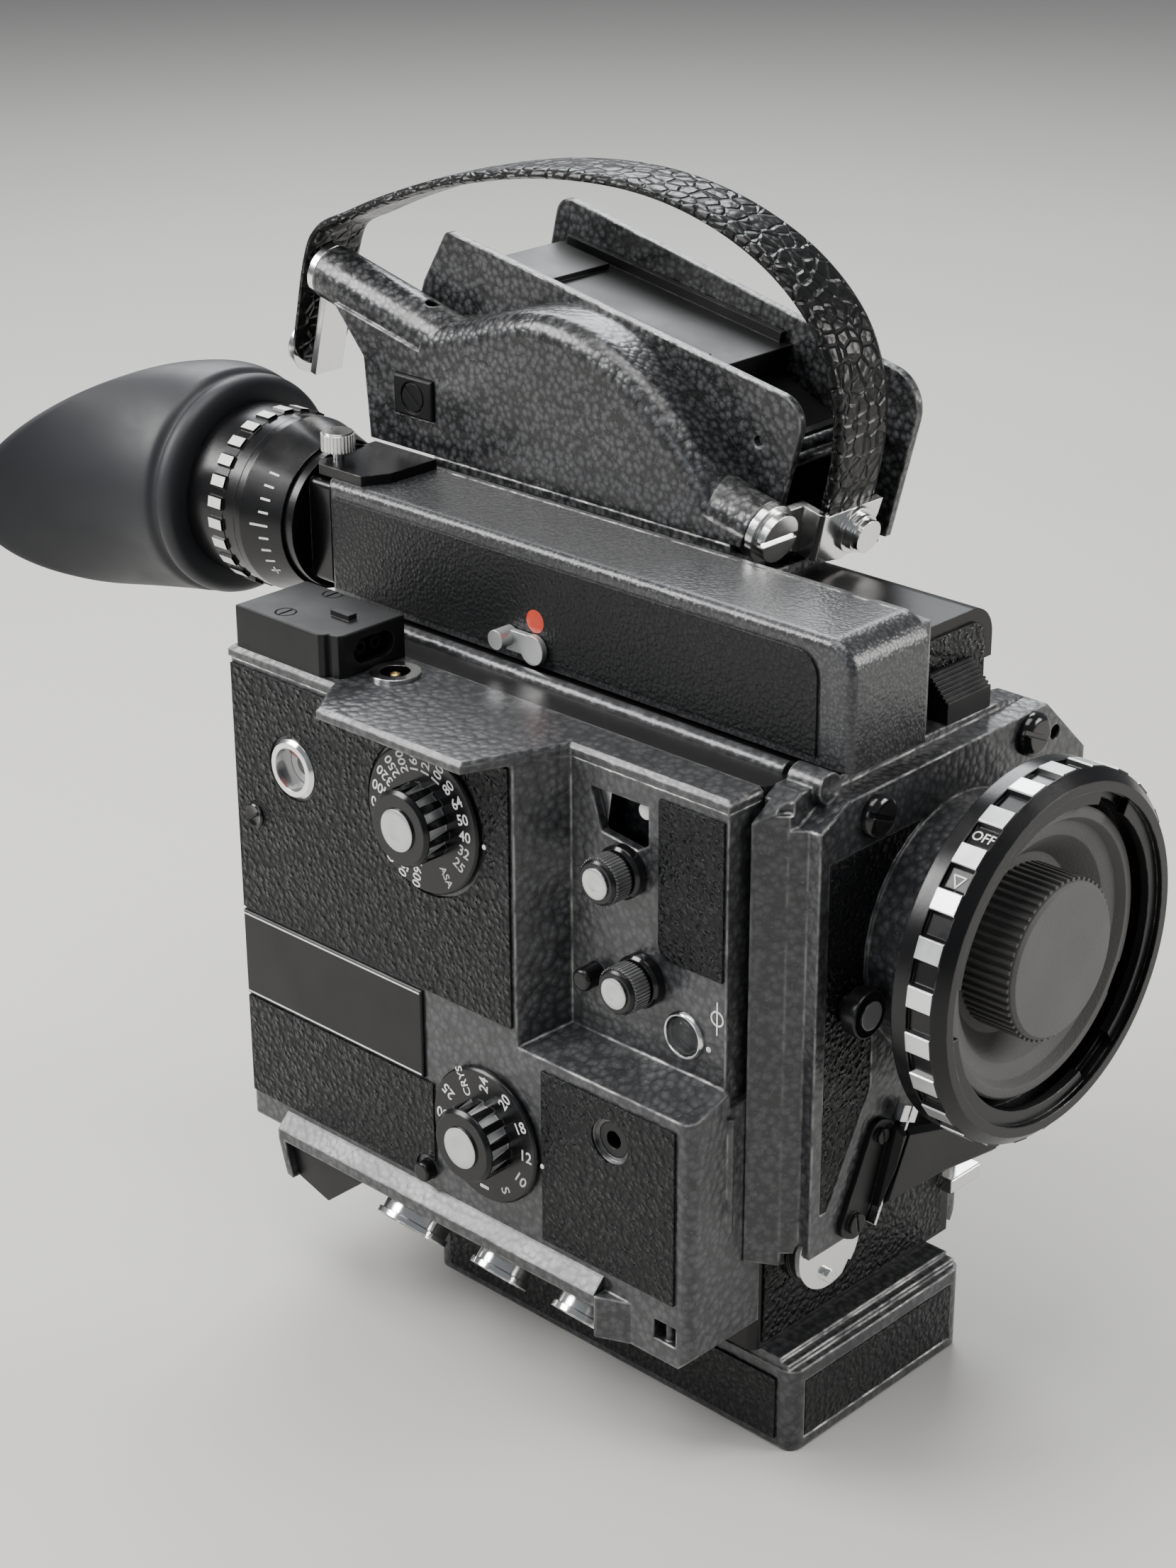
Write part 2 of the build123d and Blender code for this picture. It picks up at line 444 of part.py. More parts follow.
for px, py, depth in ((-61.0, 99.0, 0.5), (-42.6, 100.0, 0.3)):
    acc -= rod_z(BODY_TOP + 12.5 - depth, BODY_TOP + 14, px, py, 3.1) - rod_z(
        BODY_TOP, BODY_TOP + 12.6, px, py, 2.7)
    acc -= box(px - 2.6, px + 2.6, py - 0.35, py + 0.35, BODY_TOP + 11.9, BODY_TOP + 14)
PARTS["accessory_block"] = acc

# sockets under the rail, mouths turned down and outwards, and the black wedge behind them
SOCKET_X = -64.5
SOCKET_Z = 31.6
SOCKET_TILT = 45.0
lower_sockets = []
for sy, sr in ((-15.5, 9.0), (16.5, 9.0), (52.4, 11.3)):
    mouth = Pos(SOCKET_X, sy, SOCKET_Z) * Rot(0, SOCKET_TILT, 0)
    s = mouth * Pos(0, 0, 10) * Cylinder(sr - 0.9, 20)
    s += mouth * Pos(0, 0, 0.9) * Cylinder(sr, 1.8)
    s -= mouth * Pos(0, 0, 3.5) * Cylinder(sr - 2.2, 9)
    s += mouth * Pos(0, 0, 4.5) * Cylinder(3.0, 8)
    s -= box(-90, -30, sy - 20, sy + 20, RAIL_LOW, 80)
    lower_sockets.append(s)
PARTS["under_sockets"] = gather(lower_sockets)
wedge = prism_x([(64.4, RAIL_LOW), (82.5, 30.5), (RAIL_Y1 - 5.9, 34.2), (RAIL_Y1 - 2.8, RAIL_LOW)],
                -69.5, -47.0)
PARTS["connector_wedge"] = round_edges(wedge, 1.2, lambda e: along(e, "X") and e.center().Z < 42)

# half-round bead between housing and finder
BEAD_X = -28.0
bead = rod_y(-55.0, 92.0, BEAD_X, BODY_TOP, 2.6) - box(-40, -20, -60, 95, 190, BODY_TOP)
PARTS["trim_rails"] = gather([rail, bead])

# circuit board inside the housing
board = box(-51.0, -49.4, -40, 105, 62, 104) + box(-51.0, -49.4, 8, 105, 104, 182)
for i in range(5):
    for j in range(3):
        board += box(-49.4, -46.6, 20 + 16 * i, 28 + 16 * i, 70 + 36 * j, 80 + 36 * j)
for i in range(4):
    board += rod_x(-58.0, -51.0, 62 + 10 * i, 132, 3.6)
PARTS["circuit_board"] = board

# ---- front plate and lens mount ------------------------------------------------------------
outline = [(-37.3, 64), (-19.7, 64), (-6.0, 91), (8, 84.5), (19.3, 83.5), (40, 88), (62, 103),
           (75.9, 128), (75.9, 177), (57, 195.2), (-25.8, 193.8), (-37.3, 188)]
front = prism_y(outline, PLATE_Y, PLATE_Y + 7.5)
front += prism_y([(-47.0, 62), (-37.3, 60), (-19.7, 60), (-10, 80), (40, 80), (62, 103),
                  (75.9, 128), (75.9, 177),
                  (57, 195.2), (44, BODY_TOP), (-36, BODY_TOP), (-47.0, 190)],
                 PLATE_Y + 7.5, BODY_Y0)
front -= prism_z([(-48, BODY_Y0 + 0.1), (-47.0, BODY_Y0 - 2), (-37.3, PLATE_Y + 4),
                  (-37.3, PLATE_Y - 1), (-48, PLATE_Y - 1)], 50, 200)
front -= box(-48, BODY_X0, BODY_Y0 - 1.7, BODY_Y0 + 1, 50, 200)
# the bevelled flank runs on to the front layer
front += prism_z([(-40.9, PLATE_Y + 7.6), (-37.2, PLATE_Y + 3.8), (-37.2, PLATE_Y + 7.6)], 64.5, 188.0)
# round shoulder in line with the bead beside the finder
front += rod_y(PLATE_Y + 5, BODY_Y0 - 0.4, -28.0, BODY_TOP - 0.6, 4.2)
# raised boss that carries the lens mount, hollow behind for the shutter
front += rod_y(MOUNT_Y, PLATE_Y, LENS_X, LENS_Z, 36.5)
front -= rod_y(BODY_Y0 - 8.6, BODY_Y0 + 1, SHUTTER_X, SHUTTER_Z, SHUTTER_R + 1.5)
front -= rod_y(MOUNT_Y - 1, BODY_Y0 + 1, LENS_X, LENS_Z, 33.0)
# pocket for the finger lever at the lower left
front -= rod_y(PLATE_Y + 2.3, BODY_Y0 + 1, MOON_X, MOON_Z, MOON_R + 0.6)
INLAY_R = 37.5           # the inlay follows the boss along this radius


def boss_point(turn):
    a = math.radians(turn)
    return (LENS_X + INLAY_R * math.cos(a), LENS_Z + INLAY_R * math.sin(a))


INLAY = [(-33.4, 76.0), (-30.6, 76.0), (-13.5, 107.3)]
INLAY += [boss_point(turn) for turn in (208, 196, 184, 172, 160, 148, 136, 124, 113)]
INLAY.append((-33.4, 178.5))
front -= prism_y(INLAY, PLATE_Y - 1, PLATE_Y + 1.0)
RELEASE_X = -24.4
RELEASE_Z = 135.3
front -= rod_y(PLATE_Y - 1, BODY_Y0 + 1, RELEASE_X, RELEASE_Z, 4.1)
front -= rod_y(PLATE_Y + 6, BODY_Y0 + 1, RELEASE_X, RELEASE_Z, 6.3)
HEADS = ((-15.5, 186.6), (50.4, 188.5))
for hx, hz in HEADS:
    front -= rod_y(PLATE_Y - 1, PLATE_Y + 5, hx, hz, 3.3)
front -= rod_y(PLATE_Y - 1, PLATE_Y + 4, 61.5, 185.5, 2.2)
front -= rod_z(BODY_TOP - 5, BODY_TOP + 2, -41.5, -66.0, 2.6)
PARTS["front_plate"] = front
inlay_plane = Plane.XZ.offset(-(PLATE_Y + 1.0))
inlay_face = offset(make_face(Polyline(*INLAY, close=True)), amount=-0.35)
inlay = extrude(inlay_plane * inlay_face, amount=0.8)
inlay -= rod_y(PLATE_Y - 1, PLATE_Y + 3, RELEASE_X, RELEASE_Z, 4.6)
sheets.append(inlay)

heads = []
for hx, hz in HEADS:
    head = rod_y(PLATE_Y - 3.2, PLATE_Y, hx, hz, 6.2)
    head = round_edges(head, 2.4, lambda e: e.center().Y < PLATE_Y - 3)
    head -= Pos(hx, PLATE_Y - 3.2, hz) * Rot(0, 25, 0) * Box(14, 2.6, 1.4)
    head += rod_y(PLATE_Y, PLATE_Y + 4.5, hx, hz, 3.0)
    heads.append(head)
# small chromed catch for the film door at the lower right
heads.append(round_edges(box(39.5, 53.0, BODY_Y0 - 6.0, BODY_Y0 - LEATHER - 0.3, 45.5, 50.0), 0.6,
                         lambda e: e.center().Y < BODY_Y0 - 5.9))
PARTS["plate_screws"] = gather(heads)

RING_FRONT = MOUNT_Y - 16.0
REST_Y = MOUNT_Y - 6.1   # front face of the fixed mount
flange = rod_y(REST_Y, MOUNT_Y, LENS_X, LENS_Z, 39.2)
flange += rod_y(MOUNT_Y, MOUNT_Y + 7, LENS_X, LENS_Z, 32.6)
flange -= rod_y(REST_Y - 1, MOUNT_Y + 8, LENS_X, LENS_Z, 30.6)
flange -= rod_y(REST_Y - 1, MOUNT_Y - 1.4, LENS_X, LENS_Z, 34.6)
PARTS["mount_flange"] = flange

# rotating locking ring: castellated grip, smooth lip, inner rim with three notches
grip = wheel_y(RING_FRONT + 3.0, RING_FRONT + 10.6, LENS_X, LENS_Z, 25, 52.0, 50.4, 0.5, -3.5)
lock_ring = grip + rod_y(RING_FRONT + 10.6, MOUNT_Y - 0.8, LENS_X, LENS_Z, 51.6)
nose = Pos(LENS_X, RING_FRONT + 1.5, LENS_Z) * Rot(-90, 0, 0) * Cone(48.6, 51.6, 3.0)
lock_ring += nose
lock_ring -= rod_y(RING_FRONT - 1, MOUNT_Y + 1, LENS_X, LENS_Z, 39.6)
lock_ring -= rod_y(RING_FRONT - 1, REST_Y, LENS_X, LENS_Z, 43.6)
lock_ring -= rod_y(RING_FRONT - 1, RING_FRONT + 4.2, LENS_X, LENS_Z, 45.8)
rim = rod_y(RING_FRONT + 1.6, RING_FRONT + 4.2, LENS_X, LENS_Z, 46.2)
rim -= rod_y(RING_FRONT, RING_FRONT + 6, LENS_X, LENS_Z, 41.8)
for turn in (60, 180, 300):
    rim -= Pos(LENS_X, RING_FRONT + 3, LENS_Z) * Rot(0, turn, 0) * Pos(42, 0, 0) * Box(7, 8, 14)
PARTS["bayonet_ring"] = lock_ring + rim

# moulded body cap with a ribbed grip: a dish turned about the lens axis
CAP_SHAPE = [(0, MOUNT_Y + 1.4), (26.6, MOUNT_Y + 1.4), (33.4, REST_Y + 0.9), (33.9, REST_Y - 0.4),
             (40.3, REST_Y - 0.4), (40.3, REST_Y - 3.6), (39.6, REST_Y - 4.2), (37.2, REST_Y - 4.2),
             (35.6, REST_Y - 1.7), (31.4, REST_Y - 0.5), (25.0, MOUNT_Y - 0.4), (0, MOUNT_Y - 0.4)]
cap_plane = Plane(origin=(LENS_X, 0, LENS_Z), x_dir=(1, 0, 0), z_dir=(0, 0, 1))
cap = revolve(cap_plane * make_face(Polyline(*CAP_SHAPE, close=True)),
              axis=Axis((LENS_X, 0, LENS_Z), (0, 1, 0)), revolution_arc=360)
knob = wheel_y(RING_FRONT + 0.8, MOUNT_Y - 0.3, LENS_X, LENS_Z, 56, 22.6, 21.7, 0.45)
knob += rod_y(RING_FRONT - 0.6, RING_FRONT + 0.9, LENS_X, LENS_Z, 21.7)
knob = chamfer([e for e in knob.edges() if e.center().Y < RING_FRONT - 0.5], 0.9)
cap += knob
for turn in (30, 150, 270):
    cap -= Pos(LENS_X, REST_Y, LENS_Z) * Rot(0, turn, 0) * Pos(40.6, 0, 0) * Box(3.4, 9, 9)
PARTS["body_cap"] = cap

rel = rod_y(-81.8, PLATE_Y + 9, RELEASE_X, RELEASE_Z, 4.0)
rel += rod_y(-81.4, -76.8, RELEASE_X, RELEASE_Z, 6.7)
rel = round_edges(rel, 0.7, lambda e: e.center().Y < -81.3 and e.length > 36)
rel += rod_y(PLATE_Y + 8, PLATE_Y + 10, RELEASE_X, RELEASE_Z, 5.4)
PARTS["release_button"] = rel

# filter holder: a flange and a raised cover on the plate, with a thin blade in its slot
STRIP = Plane(origin=(-15.0, PLATE_Y, 80.0), x_dir=(0.43, 0, 0.9028), z_dir=(0, -1, 0))
COVER_Y = PLATE_Y - 5.7


def strip_block(s0, s1, t0, t1, d0, d1):
    """Block along the filter slot: s up the slot, t across it, d out of the front plate."""
    face = make_face(Polyline((s0, t0), (s1, t0), (s1, t1), (s0, t1), close=True))
    return extrude(STRIP.offset(d0) * face, amount=d1 - d0)


ledge = strip_block(-17.2, 16.8, -5.0, 5.2, 0.0, 1.6)
ledge = round_edges(ledge, 4.0, lambda e: abs(e.tangent_at(0.5).Y) > 0.999)
nose = prism_y([(-13.6, 71.5), (13.9, 70.2), (37.8, 66.7), (43, 72), (43, 90), (12, 87),
                (-6.6, 92.6)], COVER_Y, PLATE_Y)
nose = chamfer([e for e in nose.edges() if e.center().Y < COVER_Y + 0.1], 1.6)
holder = ledge + nose
for s_screw, t_screw, r_screw in ((-12.5, 0.2, 3.0), (12.4, 1.0, 2.2)):
    head = STRIP.offset(2.2) * Pos(s_screw, t_screw, 0) * Cylinder(r_screw, 1.6)
    slot = STRIP.offset(3.0) * Pos(s_screw, t_screw, 0) * Rot(0, 0, 35) * Box(8, 0.8, 1.0)
    holder += head - slot
holder -= strip_block(-12.6, 30, -6.6, -5.2, 0.3, 8.0)
PARTS["filter_cover"] = holder
blade = strip_block(-12.0, 17.8, -6.3, -5.5, 0.6, 4.4)
blade += strip_block(17.2, 21.8, -9.4, -6.3, 2.4, 4.2) + strip_block(17.2, 21.8, -5.5, -2.4, 2.4, 4.2)
blade += strip_block(17.2, 18.4, -9.0, -2.8, 2.0, 4.0)
PARTS["filter_slide"] = blade

# finger lever at the lower front corner with a ringed collar behind it, on one axis
moon = rod_y(PLATE_Y + 2.6, PLATE_Y + 4.4, MOON_X, MOON_Z, MOON_R)
moon -= Pos(MOON_X + 7.0, PLATE_Y + 3.5, MOON_Z - 11.6) * Rot(0, 38, 0) * Box(2.6, 4, 7)
moon += rod_y(PLATE_Y + 0.9, PLATE_Y + 2.8, MOON_X - 1.0, MOON_Z - 8.6, 2.0)
moon += rod_y(PLATE_Y + 4.3, BODY_Y0 - 0.8, MOON_X, MOON_Z, 3.0)
PARTS["thumb_lever"] = moon
collar = rod_y(PLATE_Y + 4.8, BODY_Y0 - 4.9, MOON_X, MOON_Z, MOON_R - 0.8)
collar += rod_y(PLATE_Y + 7.2, PLATE_Y + 8.6, MOON_X, MOON_Z, MOON_R - 0.1)
collar -= rod_y(PLATE_Y + 4, BODY_Y0 - 4, MOON_X, MOON_Z, 3.07)
PARTS["setting_knob"] = collar
PARTS["leather_panels"] = gather(sheets)

# ribbed thumb slide on top of the front plate
slide = prism_x([(-66.2, BODY_TOP), (-66.2, BODY_TOP + 6.0), (-60.0, BODY_TOP + 12.5),
                 (BODY_Y0 - LEATHER - 0.6, BODY_TOP + 12.5), (BODY_Y0 - LEATHER - 0.6, BODY_TOP)],
                23.0, 41.5)
for i in range(7):
    t = i / 7.0
    rib = Pos(32.2, -66.2 + 6.2 * (t + 0.08), BODY_TOP + 6.0 + 6.5 * (t + 0.08))
    slide -= rib * Rot(46.4, 0, 0) * Box(20, 0.55, 1.0)
PARTS["thumb_slide"] = slide

# ---- finder tube and eyepiece ------------------------------------------------------------
tube = box(TUBE_X0, TUBE_X1, TUBE_Y0, TUBE_Y1, TUBE_Z0, TUBE_Z1)
tube = round_edges(tube, 8.5, lambda e: along(e, "X") and e.center().Y < 0 and e.center().Z > 220)
tube = round_edges(tube, 2.6, lambda e: along(e, "Z") and e.center().X < 0)
tube += box(TUBE_X1, LOBE_X0 - 0.4, TUBE_Y0 + 2.5, TUBE_Y1 - 20, TUBE_Z0 + 1.0, TUBE_Z1 - 2.5)
tube -= box(TUBE_X0 + 3, TUBE_X1 - 3, TUBE_Y0 + 12, TUBE_Y1 + 1, TUBE_Z0 + 3, TUBE_Z1 - 3)
tube -= rod_z(190, TUBE_Z0 + 4, LENS_X - 24, TUBE_Y0 + 22, 8.0)
tube -= box(TUBE_X1 - 2.4, TUBE_X1 - 1.7, TUBE_Y0 + 6, TUBE_Y1 + 1, TUBE_Z1 - 0.5, TUBE_Z1 + 1)
tube -= rod_x(TUBE_X0 - 1, TUBE_X0 + 4, LEVER_Y, LEVER_Z, 2.1)
for fy in (-40.0, 20.0, 80.0):
    tube += rod_z(BODY_TOP, TUBE_Z0 + 0.2, -10.0, fy, 7.0)
PARTS["finder_tube"] = tube
lever = rod_x(TUBE_X0 - LEATHER - 2.2, TUBE_X0 - LEATHER - 0.3, LEVER_Y, LEVER_Z, 4.3)
lever += box(TUBE_X0 - LEATHER - 2.2, TUBE_X0 - LEATHER - 0.3, LEVER_Y, LEVER_Y + 9.6,
             LEVER_Z - 2.0, LEVER_Z + 4.0)
lever += rod_x(TUBE_X0 - LEATHER - 6.5, TUBE_X0 - LEATHER - 0.3, LEVER_Y + 9.6, LEVER_Z + 1.8, 2.8)
lever += rod_x(TUBE_X0 - LEATHER - 0.4, TUBE_X0 + 5, LEVER_Y, LEVER_Z, 2.0)
PARTS["finder_lever"] = lever
adapter = box(-21.5, 6.5, TUBE_Y1, TUBE_Y1 + 9, 200.5, 231.5)
adapter = round_edges(adapter, 2.0, lambda e: along(e, "Y"))
adapter += rod_y(TUBE_Y1 + 8.8, TUBE_Y1 + 12.5, EYE_X, EYE_Z, 21.5)
adapter += prism_z([(-20, 112), (-12, 108), (6, 108), (6, 134), (-16, 134), (-20, 130)],
                   TUBE_Z1, TUBE_Z1 + 3)
adapter += box(-16, 4, 124.5, 134, 231, TUBE_Z1 + 1)
adapter -= rod_y(TUBE_Y1 - 1, TUBE_Y1 + 14, EYE_X, EYE_Z, 12.5)
SCREW_X = -12.7
SCREW_Y = 129.5
adapter -= rod_z(230.0, 240, SCREW_X, SCREW_Y, 1.9)
PARTS["eyepiece_adapter"] = adapter
thumb = rod_z(230.6, 239, SCREW_X, SCREW_Y, 1.8) + wheel_z(238.5, 243.6, SCREW_X, SCREW_Y, 28, 5.0, 4.6)
PARTS["thumb_screw"] = thumb + rod_z(243.6, 244.2, SCREW_X, SCREW_Y, 4.4)

s0 = TUBE_Y1 + 12.5
scale_ring = Pos(EYE_X, s0 + 7, EYE_Z) * Rot(-90, 0, 0) * Cone(22.5, 26.4, 14.0)
scale_ring += rod_y(s0 + 14.0, s0 + 16.5, EYE_X, EYE_Z, 26.4)
scale_ring -= rod_y(s0 - 1, s0 + 18, EYE_X, EYE_Z, 17.0)
PARTS["scale_ring"] = scale_ring
d0 = s0 + 16.8
diopter = rod_y(d0, d0 + 5.0, EYE_X, EYE_Z, 26.2)
diopter += wheel_y(d0 + 5.0, d0 + 10.6, EYE_X, EYE_Z, 26, 27.2, 26.4, 0.55)
diopter += rod_y(d0 + 10.5, d0 + 21.0, EYE_X, EYE_Z, 26.4)
diopter += rod_y(d0 - 9, d0 + 1, EYE_X, EYE_Z, 16.9)
diopter += rod_y(d0 + 21.0, d0 + 27.0, EYE_X, EYE_Z, 21.0)
diopter -= rod_y(d0 - 10, d0 + 28, EYE_X, EYE_Z, 13.5)
PARTS["diopter_ring"] = diopter
PARTS["eye_lens"] = rod_y(d0 + 14, d0 + 19, EYE_X, EYE_Z, 13.2)

# eyecup: round collar, then a bell whose -X side flares out into a wing for the temple
# (plain soft stand-in)
e0 = d0 + 21.3
BELL = ((6.0, 0.0, 35.0, 35.0), (20.0, -2.0, 37.0, 35.0), (38.0, -17.6, 31.0, 28.0),
        (57.0, -39.0, 26.0, 18.0))
CUP_WALL = 3.6


def bell(inset, past):
    """The bell as a loft of ellipses, made smaller all round by the inset."""
    rings = []
    for reach, shift, wide, high in BELL:
        end = past if reach == BELL[-1][0] else 0.0
        plane = Plane(origin=(EYE_X + shift, e0 + reach + end, EYE_Z), x_dir=(1, 0, 0), z_dir=(0, 1, 0))
        rings.append(plane * Ellipse(wide - inset, high - inset))
    return loft(rings, ruled=True)


cup = rod_y(e0, e0 + 6.2, EYE_X, EYE_Z, 33.0) + bell(0.0, 0.0)
cup -= bell(CUP_WALL, 1.0)
cup -= rod_y(e0 - 1, e0 + 8, EYE_X, EYE_Z, 21.3)
cup -= prism_z([(EYE_X - 90, e0 + 100), (EYE_X - 90, e0 + 62), (EYE_X + 36, e0 + 18.5),
                (EYE_X + 80, e0 + 18.5), (EYE_X + 80, e0 + 100)], 150, 280)
PARTS["eyecup"] = cup

# ---- magazine saddle ---------------------------------------------------------------------
FLOOR_Y0 = -5.0
FLOOR_Y1 = 116.0
floor = box(LOBE_X0 + 0.7, 69.4, FLOOR_Y0, FLOOR_Y1, LOBE_TOP, LOBE_TOP + 3)
floor += box(LOBE_X0 + 0.7, 30.4, 1.0, FLOOR_Y1, LOBE_TOP + 2.9, 233.5)
FILM_SLOT = (38, 49, 12, 100)
floor -= box(*FILM_SLOT, LOBE_TOP - 1, LOBE_TOP + 4)
floor -= rod_u(-3, CAST_L, AXIS_X, 0, CAST_R + 0.3)
PARTS["saddle_floor"] = floor
PARTS["body_shell"] = PARTS["body_shell"] - box(*FILM_SLOT, LOBE_TOP - 5, LOBE_TOP + 1)

CAST_X = LOBE_X0 + 0.8
wall = prism_x([(AXIS_Y + 0.9, 233.6), (143.5, 233.6), (145.5, 258), (158.0, 272), (AXIS_Y, AXIS_Z)],
               CAST_X, 30.4)
hump_top = Spline((12, 5), (24, 14.5), (35, 20.5), (50, 26.4), (70, 29.0), (92, 25.0), (109, 15.5),
                  (128, 5))
hump_base = Polyline((128, 5), (128, -6), (12, -6), (12, 5))
hump_face = make_face([*hump_top.edges(), *hump_base.edges()])
hump = extrude(SADDLE.offset(CAST_X) * hump_face, amount=30.4 - CAST_X)
hump = round_edges(hump, 6.5, lambda e: abs(e.center().X - CAST_X) < 0.05
                   and e.geom_type == GeomType.BSPLINE)
casting = wall + hump + rod_u(0, CAST_L, AXIS_X, 0, CAST_R)
casting -= rod_u(-1, CAST_L + 1, AXIS_X, 0, 2.6)
BUTTON_Y = 123.5
BUTTON_Z = 250.0
casting -= box(CAST_X - 1, CAST_X + 9, BUTTON_Y - 8.2, BUTTON_Y + 8.2, BUTTON_Z - 6.2, BUTTON_Z + 6.2)
casting -= rod_v(0, 16, AXIS_X, 133.5, 2.3)
PARTS["saddle_casting"] = casting
square = box(CAST_X - 1.4, CAST_X + 7.2, BUTTON_Y - 8.0, BUTTON_Y + 8.0, BUTTON_Z - 6.0, BUTTON_Z + 6.0)
square = round_edges(square, 0.8, lambda e: abs(e.center().X - (CAST_X - 1.4)) < 0.1)
square -= rod_x(CAST_X - 2, CAST_X - 0.7, BUTTON_Y, BUTTON_Z, 4.9)
disc = rod_x(CAST_X - 1.2, CAST_X, BUTTON_Y, BUTTON_Z, 4.2)
disc -= Pos(CAST_X - 1.2, BUTTON_Y, BUTTON_Z) * Rot(40, 0, 0) * Box(1.0, 10, 0.9)
PARTS["saddle_button"] = square + disc

PLATE_R = 8.0
near = saddle([(3.4, -10), (148, -10), (146.7, 8), (140.8, 26.4), (1.4, 34.2)], 30.4, 32.8)
near = round_edges(near, PLATE_R, lambda e: along(e, "X") and e.center().Y < 0 and e.center().Z > 260)
near = round_edges(near, 2.5, lambda e: along(e, "X") and e.center().Z > 290)
near -= box(20, 40, -50, 200, 150, 235.5)
py, pz = saddle_point(14.5, 17.6)
near -= rod_x(29, 34, py, pz, 1.7)
near += box(30.4, 32.8, 2.0, FLOOR_Y1, LOBE_TOP + 3, 236.5)
far = saddle([(-8.4, -30), (132, -30), (132, 35.2), (-9.4, 37.4)], 67.0, 69.4)
far = round_edges(far, PLATE_R + 3, lambda e: along(e, "X") and e.center().Y < 0 and e.center().Z > 260)
far = round_edges(far, 5.5, lambda e: along(e, "X") and e.center().Z > 295)
far -= box(60, 80, -50, 200, 150, LOBE_TOP + 3)
pieces = [near, far]
for bu, bv in ((4.5, 20.0), (7.5, 13.0)):
    by, bz = saddle_point(bu, bv)
    pieces.append(rod_x(32.6, 67.2, by, bz, 1.8))
PARTS["saddle_plates"] = gather([join(pieces)])

# lift-off cover over the magazine throat, with a step towards the front
cover_m = saddle([(14, 15), (37, 19.5), (37, 28.5), (124, 22.5), (124, -2), (121.5, -2), (121.5, 20.2),
                  (39.5, 25.9), (39.5, 17.2), (14, 12.4)], 33.1, 66.7)
for cx in (33.1, 64.7):
    cover_m += saddle([(39.5, 0), (121.5, 0), (121.5, 20.4), (39.5, 26.1)], cx, cx + 2.0)
    cover_m += saddle([(40, 28), (124, 22.2), (124, 25.6), (40, 31.4)], cx, cx + 2.0)
cover_m += saddle([(104, 23), (124, 21.6), (124, 24.2), (104, 25.6)], 38.0, 62.0)
cover_m += saddle([(12, 13.2), (14.2, 13.2), (14.2, 17.4), (12, 17.4)], 33.1, 66.7)
PARTS["magazine_cover"] = cover_m

# carrying strap: an arm on each end of the pivot line, a stud for the strap on each arm
STUD_V = -2.0
REAR_X = 26.5
REAR_V = -29.0
arm = rod_u(-2.7, -0.3, AXIS_X, 0, CAST_R) + slab(AXIS_X, 35.6, -2.7, -0.3, -CAST_R, 5.6)
arm += slab(33.4, 35.8, -9.9, -0.3, -CAST_R, 5.6)
front_plane = Plane(origin=SADDLE.origin - SADDLE.x_dir * 7.6, x_dir=(1, 0, 0), z_dir=-SADDLE.x_dir)
arm += prism(front_plane, [(33.4, 4.9), (59.2, 4.9), (58.6, 0.0), (56.4, -5.0), (52.0, -9.2), (46.0, -10.8),
                           (40.0, -10.0), (33.4, -6.0)], 2.3)
arm = round_edges(arm, 1.5, lambda e: along(e, "X") is False and abs(e.center().X - 33.4) < 0.05
                  and e.length > 8)
arm += rod_u(-6.0, -2.6, AXIS_X, 0, 7.0) - slab(AXIS_X - 9, AXIS_X + 9, -7, -5.0, -0.8, 0.8)
arm += rod_u(-1.0, 24.0, AXIS_X, 0, 2.5)
arm += rod_u(-8.0, -4.0, STRAP_X, STUD_V, 2.2) + rod_u(-11.3, -9.8, STRAP_X, STUD_V, 6.9)
arm += rod_u(-13.4, -11.2, STRAP_X, STUD_V, 5.6) + rod_u(-15.4, -13.3, STRAP_X, STUD_V, 4.9)
rear_u = CAST_L + 0.3
rear_arm = rod_u(rear_u, rear_u + 2.4, AXIS_X, 0, CAST_R)
rear_arm += slab(AXIS_X - 2, REAR_X + 4, rear_u, rear_u + 2.4, REAR_V - 5, 0)
rear_arm += rod_u(rear_u + 2.3, rear_u + 4.0, AXIS_X, 0, 6.4)
rear_arm += rod_u(rear_u - 24, rear_u + 1, AXIS_X, 0, 2.5)
rear_arm += rod_u(rear_u + 2, rear_u + 9, REAR_X, REAR_V, 2.2)
rear_arm += rod_u(rear_u + 8.4, rear_u + 11.2, REAR_X, REAR_V, 9.0)
PARTS["strap_brackets"] = gather([arm, rear_arm])

# strap as a plain bent band through these stations: X, u, v
STATIONS = [(STRAP_X, -5.8, -8.6), (STRAP_X, -5.8, 6.0), (48.5, -5.2, 22.0), (47.6, -1.2, 38.0),
            (46.0, 9.0, 53.0), (44.0, 27.0, 63.5), (41.0, 50.0, 68.6), (38.0, 76.0, 67.5),
            (35.0, 105.0, 59.5), (32.0, 133.0, 46.5), (29.8, 155.0, 32.5), (28.2, 170.0, 21.0),
            (27.0, 180.0, 12.5), (REAR_X, 182.5, 2.0), (REAR_X, 182.5, -18.0), (REAR_X, 182.5, -34.2)]


def station_plane(i):
    def at(k):
        x, u, v = STATIONS[max(0, min(len(STATIONS) - 1, k))]
        y, z = saddle_point(u, v)
        return Vector(x, y, z)
    run = (at(i + 1) - at(i - 1)).normalized()
    across = (Vector(1, 0, 0) - run * run.X).normalized()
    return Plane(origin=at(i), x_dir=across, z_dir=run)


sections = [station_plane(i) * Rectangle(STRAP_W, STRAP_T) for i in range(len(STATIONS))]
strap = loft(sections, ruled=True)
strap -= rod_u(-9, -2, STRAP_X, STUD_V, 2.9)
strap -= rod_u(rear_u + 2.6, rear_u + 9, REAR_X, REAR_V, 2.9)
PARTS["carry_strap"] = strap

